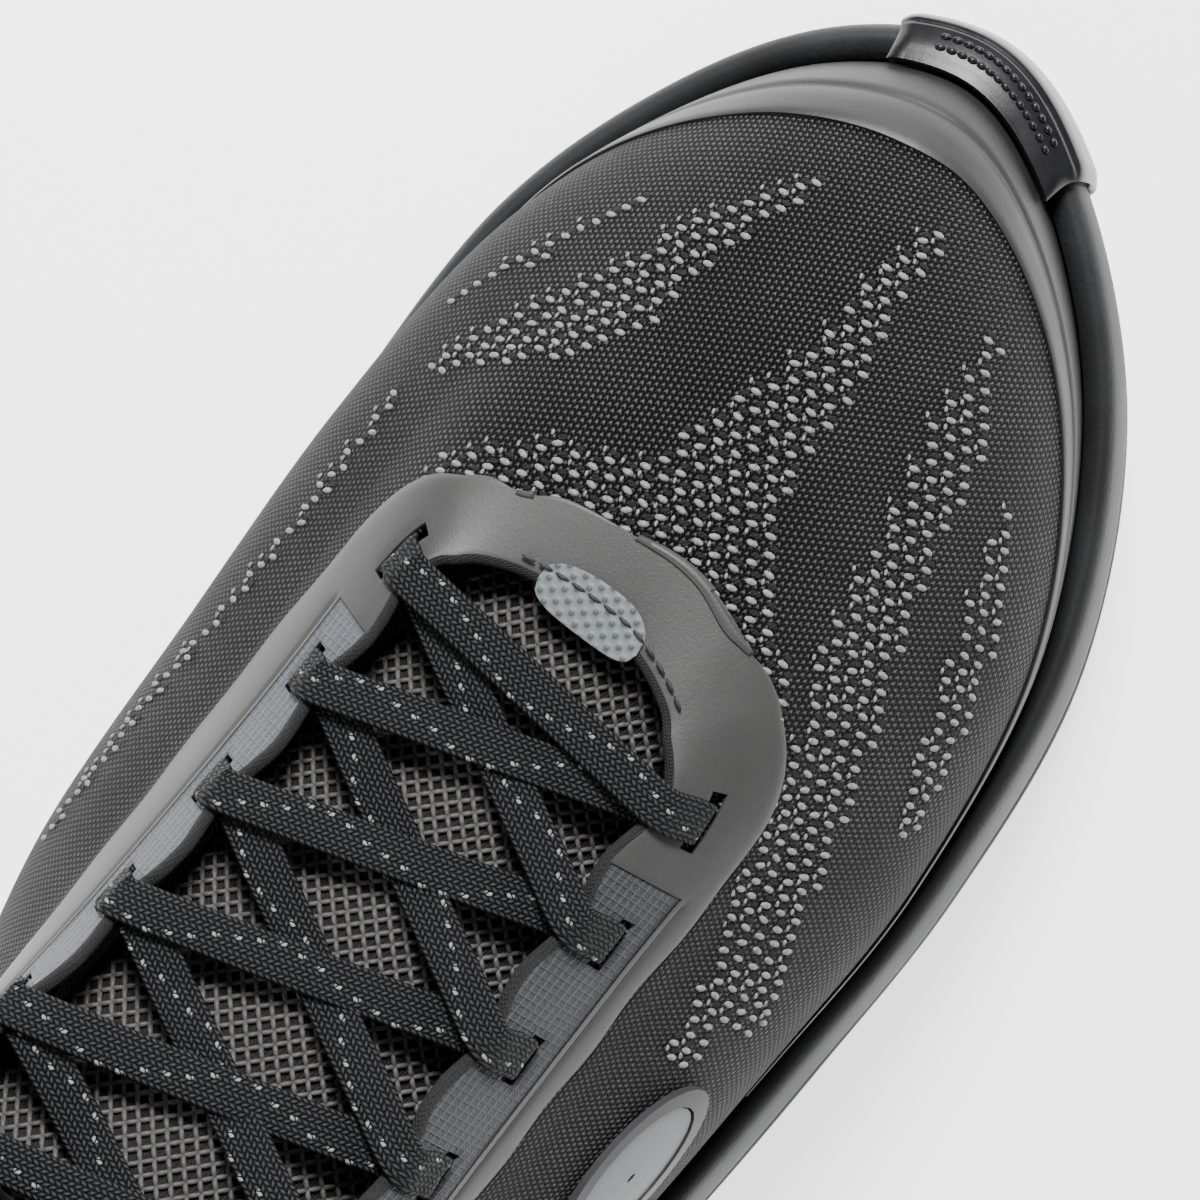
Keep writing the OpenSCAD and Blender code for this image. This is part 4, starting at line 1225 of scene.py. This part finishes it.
def collar_pad(t, v):
    return 0.9 + 6.5 * np.sin(math.pi
                              * np.clip((v - 0.56) / 0.42, 0.08, 0.92)) * ease((3.5 - np.abs(t - HEEL)) / 1.6)


def shell(name, outer, inner, material):
    """A closed skin between two grids."""
    n, m = outer.shape[:2]
    vertices = np.concatenate([outer.reshape(-1, 3), inner.reshape(-1, 3)])
    faces = grid_faces(n, m) + [tuple(q + n * m for q in f[::-1]) for f in grid_faces(n, m)]
    off = n * m
    for i in range(n - 1):
        for j, turn in ((0, 1), (m - 1, -1)):
            quad = (i * m + j, off + i * m + j, off + (i + 1) * m + j, (i + 1) * m + j)
            faces.append(quad[::turn])
    for j in range(m - 1):
        for i, turn in ((0, -1), (n - 1, 1)):
            quad = (i * m + j, off + i * m + j, off + i * m + j + 1, i * m + j + 1)
            faces.append(quad[::turn])
    return add_mesh(name, vertices, faces, material)


def make_collar():
    t = np.linspace(MEDIAL[17], LATERAL[0], 170)[:, None]
    v = np.linspace(0.58, 0.97, 26)[None]
    t, v = np.broadcast_arrays(t, v)
    foam = shell("collar_padding", upper(t, v, -KNIT - BOND + 0 * v),
                 upper(t, v, -KNIT - BOND - collar_pad(t, v)), "lining")
    show_as(foam, "shoe", "collar_foam")
    t = np.linspace(MEDIAL[17], LATERAL[0], 170)[:, None]
    v = np.r_[np.linspace(0.06, 0.54, 16), np.linspace(0.58, 0.97, 26)][None]
    t, v = np.broadcast_arrays(t, v)
    deep = np.where(v < 0.56, 1.6, collar_pad(t, v)) + KNIT + BOND * 2
    lining = shell("collar_lining", upper(t, v, -deep), upper(t, v, -deep - 0.9), "lining")
    show_as(lining, "shoe", "heel_lining")
    edge_t = np.linspace(MEDIAL[17], LATERAL[0], 120)
    show_as(tube_mesh("collar_binding", upper(edge_t, 0.985 + 0 * edge_t, -0.8), 1.5, "binding", 1.2), "shoe",
            None)


make_insole()
make_collar()


# ---------------------------------------------------------------------------------------------------
# Tongue: open net over a near-black backing, padding, lining and top panel
def make_tongue():
    s = np.linspace(0, 1, 120)[:, None]
    w = np.linspace(-1, 1, 50)[None]
    # backing sheet under the net: its own dark cloth colour, darkened further to near black as painted shade
    # seen through the net's holes
    back = sheet_mesh("tongue_backing", tongue(s, -w, -0.35), "hole", 0.45)
    show_as(back, "tongue", None)
    # diamonds 2.3 mm across: rows of staggered points joined into a lattice, then turned into round wires
    length = np.linalg.norm(np.diff(tongue0(np.linspace(0, 1, 200), 0.0), axis=0), axis=1).sum()
    rows, half = int(length / 1.32), 2.45
    vertices, edges, index = [], [], {}
    for r in range(rows + 1):
        c = along(TONGUE, r / rows)
        count = int(c[2] / half) + 1
        for k in range(-count, count + 1):
            y = (k + 0.5 * (r % 2)) * half
            if abs(y) < c[2] - 0.3:
                index[r, k] = len(vertices)
                vertices.append(tongue(r / rows, y / c[2], -0.05))
    for (r, k), here in index.items():
        for other in ((r + 1, k), (r + 1, k - 1 if r % 2 == 0 else k + 1)):
            if other in index:
                edges.append((here, index[other]))
    net = net_mesh("tongue_net", np.array(vertices), edges, 0.27, "net")
    show_as(net, "tongue", "tongue_mesh")
    s = np.linspace(0.12, 1, 100)[:, None]
    w = np.linspace(-0.95, 0.95, 40)[None]
    s, w = np.broadcast_arrays(s, w)
    pad = 0.8 + 3.8 * ease((s - 0.15) / 0.5)
    foam = shell("tongue_padding", tongue(s, -w, -1 + 0 * s), tongue(s, -w, -1 - pad), "lining")
    show_as(foam, "tongue", "tongue_foam")
    s, w = np.broadcast_arrays(np.linspace(0, 1, 100)[:, None], np.linspace(-1, 1, 40)[None])
    pad = 0.8 + 3.8 * ease((s - 0.15) / 0.5)
    lining = shell("tongue_lining_cloth", tongue(s, -w, -1.1 - pad), tongue(s, -w, -2 - pad), "lining")
    show_as(lining, "tongue", "tongue_lining")
    s, w = np.broadcast_arrays(np.linspace(0.8, 1, 40)[:, None], np.linspace(-0.96, 0.96, 40)[None])
    panel = tongue(s, -w, 0.5 + 0.3 * np.sin(math.pi * (w + 1) / 2) + 0 * s)
    top = sheet_mesh("tongue_panel", panel, "guard", 0.4, uv=np.stack([panel[..., 0], panel[..., 1]], -1),
                     bevel=0.2)
    show_as(top, "tongue", "tongue_top_panel")
    line = tongue(np.full(30, 0.83), np.linspace(-0.85, 0.85, 30), 0.75)
    make_stitches("tongue_stitches", line, 3.0, (2.2, 0.7, 0.3), "thread", "tongue")
    rim_s = np.r_[np.linspace(0.5, 0.97, 20), np.full(20, 1.0), np.linspace(0.97, 0.5, 20)]
    rim_w = np.r_[np.full(20, -1.0), np.linspace(-0.96, 0.96, 20), np.full(20, 1.0)]
    show_as(tube_mesh("tongue_binding", tongue(rim_s, rim_w, -1.0), 1.15, "binding", 1.0), "tongue", None)


def net_mesh(name, vertices, edges, radius, material):
    """Short hexagonal rods along the edges, meeting in the knots of the net."""
    sides = 6
    a = np.linspace(0, 2 * math.pi, sides, endpoint=False)
    pairs = np.array(edges)
    start, stop = vertices[pairs[:, 0]], vertices[pairs[:, 1]]
    middle = (start + stop) / 2 + np.array([0, 0, 0.16])
    tangent = unit(stop - start)
    wide = unit(np.cross(tangent, [0.0, 0.0, 1.0]))
    up = np.cross(wide, tangent)
    rings = []
    for point, r in ((start - tangent * 0.15, radius * 0.9), (middle, radius * 1.05),
                     (stop + tangent * 0.15, radius * 0.9)):
        rings.append(point[:, None] + r
                     * (wide[:, None] * np.cos(a)[None, :, None] * 1.25 + up[:, None]
                        * np.sin(a)[None, :, None]))
    rods = np.concatenate(rings, 1)
    count = 3 * sides
    cell = [(k * sides + i, k * sides + (i + 1) % sides, (k + 1) * sides + (i + 1) % sides, (k + 1) * sides
             + i)
            for k in range(2) for i in range(sides)]
    cell += [tuple(range(sides - 1, -1, -1)), tuple(range(2 * sides, 3 * sides))]
    faces = [tuple(q + e * count for q in f) for e in range(len(pairs)) for f in cell]
    return add_mesh(name, rods.reshape(-1, 3), faces, material)


make_tongue()


# ---------------------------------------------------------------------------------------------------
# Laces, on the CAD routes
def edge_dir(x, side):
    return unit(upper0(throat_t(x + 2, side), 0.92) - upper0(throat_t(x - 2, side), 0.92))


def at_slot(i, side, d, lift):
    t = throat_t(slot_x(i, side), side)
    return upper(t, float(v_in(t, d)), lift)


def lace_under(i, side):
    e = edge_dir(slot_x(i, side), side) * 0.15
    w = float(slot_d(throat_t(slot_x(i, side), side)))
    return [at_slot(i, side, w + 0.35, -2.2) + e, at_slot(i, side, w - 1.9, -2.15) + e,
            at_slot(i, side, 2.2, -2.1),
            at_slot(i, side, 0, -2.1) + [0, -side * 1, 0.1]]


def lace_over(i, side):
    w = float(slot_d(throat_t(slot_x(i, side), side)))
    return [at_slot(i, side, 1, 1.3), at_slot(i, side, w - 2.5, 1.35), at_slot(i, side, w - 0.55, 1.05),
            at_slot(i, side, w, 0),
            at_slot(i, side, w, -2.2)]


def tongue_s(x):
    a, b = 0.0, 1.0
    for _ in range(20):
        m = (a + b) / 2
        if along(TONGUE, m)[0] > x:
            a = m
        else:
            b = m
    return (a + b) / 2


def span(a, b, lift):
    points = []
    for f in (0.2, 0.5, 0.8):
        x, y = mix(a[0], b[0], f), mix(a[1], b[1], f)
        c = along(TONGUE, tongue_s(x))
        z = max(c[1] - c[3] * (y / c[2]) ** 2, mix(a[2], b[2], f)) + 1 + 1.9 * ease((110 - x) / 8)
        points.append(np.array([x, y, z + lift * (1 if f == 0.5 else 0.5)]))
    return points


def cross_dir(a, b):
    d = b - a
    return unit(np.array([abs(d[1]), -np.sign(d[1]) * d[0], -0.35 * abs(d[1])]))


def make_laces():
    bands = []
    a, b = lace_over(0, -1), lace_over(0, 1)
    m = span(a[0], b[0], 0.2)
    e, f, c = edge_dir(slot_x(0, -1), -1), edge_dir(slot_x(0, 1), 1), np.array([1, 0, -0.25])
    path = [a[4], a[3], a[2], a[1], a[0], m[0], m[1], m[2], b[0], b[1], b[2], b[3], b[4]]
    dirs = [e, e, e, e, unit(e + c), c, c, c, unit(f + c), f, f, f, f]
    bands.append((path, dirs))
    for i in range(SLOTS - 1):
        for side in (-1, 1):
            u, o = lace_under(i, side), lace_over(i + 1, -side)
            m = span(u[3], o[0], 1.7 if side < 0 else 0)
            e0, e1 = edge_dir(slot_x(i, side), side), edge_dir(slot_x(i + 1, -side), -side)
            c = cross_dir(u[3], o[0])
            bands.append((u + m + o,
                          [e0, e0, e0, unit(e0 + c * 0.4), c, c, c, unit(e1 + c * 0.4), e1, e1, e1, e1]))
    for side in (-1, 1):
        u = lace_under(SLOTS - 1, side)
        e = edge_dir(slot_x(SLOTS - 1, side), side)
        k = KNOT + [2, side * 5, -0.5]
        path = u + [mix(u[3], k, 0.35) + [0, 0, 3.2], mix(u[3], k, 0.7) + [0, 0, 1.2], k, KNOT
                    + [1, side * 2, 0]]
        bands.append((path, [e, e, e, e] + [np.array([0.9, 0, -0.4])] + [np.array([0.8, 0, -0.5])] * 3))
    swept = [band_points(np.array(p), np.array(d), LACE_W, LACE_T, start=37.0 * k)[:2] for k,
             (p, d) in enumerate(bands)]
    show_as(join_bands("lace_crossings_braid", swept), "shoe", "lace_crossings")
    loops = []
    for side in (-1, 1):
        x, _, z = KNOT
        path = [KNOT + [0, side * 4, 0.5], KNOT + [6, side * 16, 2.5], [x + 15, side * 30, z - 3],
                [x + 20, side * 41, z - 17],
                [x + 17, side * 46, z - 33], [x + 11, side * 48.5, z - 39], [x + 4, side * 47, z - 32],
                [x, side * 39, z - 15],
                [x - 1, side * 20, z], KNOT + [-1, side * 4, 0]]
        dirs = [[0.2, 0.2 * side, 0.95] if i < 2 or i > 7 else [0, 0.85 * side, 0.5] for i in range(10)]
        loops.append(band_points(np.array(path, float), np.array(dirs, float), LACE_W, LACE_T)[:2])
    wrap_t = np.linspace(0, 2 * math.pi, 14)
    wrap = [KNOT + [5.0 * math.cos(a), 1.2 * math.sin(a * 0.5), 3.3 * math.sin(a)] for a in wrap_t]
    loops.append(band_points(np.array(wrap), np.tile([0.0, 1.0, 0.15], (14, 1)), LACE_W * 1.15, 1.6)[:2])
    core = [KNOT + [0, y, 0] for y in (-4.5, -2, 2, 4.5)]
    loops.append(band_points(np.array(core, float), np.tile([1.0, 0, 0.0], (4, 1)), 7.4, 5.2)[:2])
    show_as(join_bands("lace_bow_braid", loops), "shoe", "lace_bow")


make_laces()

# ---------------------------------------------------------------------------------------------------
# Emblem patch and heel loop
dress("emblem_rim", "patch_rim", 0.25)
dress("emblem_face", "patch_face", 0.25)


def make_pull_tab():
    def back(v, d):
        return upper(11.0, v, d)
    path = [back(0.74, 1.4), back(0.86, 1.7), back(0.97, 2.2), back(1.0, 2) + [-0.4, 0, 8], back(1.0, 2)
            + [-0.8, 0, 14],
            back(1.0, 2) + [-3, 0, 16.5], back(1.0, 2) + [-5, 0, 14], back(0.97, 2) + [-4.2, 0, 4],
            back(0.86, 3), back(0.74, 2.7)]
    rings, uv, _, _ = band_points(np.array(path), np.tile([0.0, 1.0, 0.0], (10, 1)), 18.0, 1.1)
    show_as(join_bands("pull_loop", [(rings, uv)], "webbing"), "pull_tab", "pull_tab")
    for k, y in enumerate((-7.2, 7.2)):
        line = [back(0.75, 3.4) + [0, y, 0], back(0.86, 3.6) + [0, y, 0]]
        spots, _ = even(np.array(line + [back(0.9, 3.7) + [0, y, 0]]), 2.4)
        lie = unit(np.gradient(spots, axis=0))
        away = unit(np.array([-1.0, 0, 0]) - lie * (lie @ np.array([-1.0, 0, 0]))[:, None])
        show_as(scatter("loop_stitches_%d" % k, spots, lie, away, (1.8, 0.6, 0.3), "thread"), "pull_tab")


make_pull_tab()


# ---------------------------------------------------------------------------------------------------
# Floor and studio light
def add_stage():
    size = 3.0
    mesh = bpy.data.meshes.new("floor")
    mesh.from_pydata([(-size, -size, 0), (size, -size, 0), (size, size, 0), (-size, size, 0)], [],
                     [(0, 1, 2, 3)])
    paper = Nodes("paper", (0.93, 0.93, 0.93), 0.9)
    paper.bsdf.inputs["Emission Color"].default_value = (1, 1, 1, 1)
    paper.bsdf.inputs["Emission Strength"].default_value = 1.9
    mesh.materials.append(paper.mat)
    floor = bpy.data.objects.new("floor", mesh)
    bpy.context.scene.collection.objects.link(floor)
    floor.location.z = -0.0005
    world = bpy.data.worlds.new("studio")
    world.use_nodes = True
    world.node_tree.nodes["Background"].inputs[0].default_value = (1, 1, 1, 1)
    world.node_tree.nodes["Background"].inputs[1].default_value = 0.15
    bpy.context.scene.world = world


def add_light(name, place, power, size, aim=(0.05, 0, 0.06)):
    light = bpy.data.lights.new(name, "AREA")
    light.energy = power
    light.size = size
    obj = bpy.data.objects.new(name, light)
    bpy.context.scene.collection.objects.link(obj)
    obj.location = place
    obj.rotation_euler = (Vector(aim) - Vector(place)).to_track_quat("-Z", "Y").to_euler()


add_stage()
add_light("key", (0.8, 0.3, 1.0), 38, 0.45)
add_light("fill", (0.6, -0.5, 0.75), 0.4, 0.7)
add_light("back", (-0.7, 0.1, 0.7), 6, 0.6)
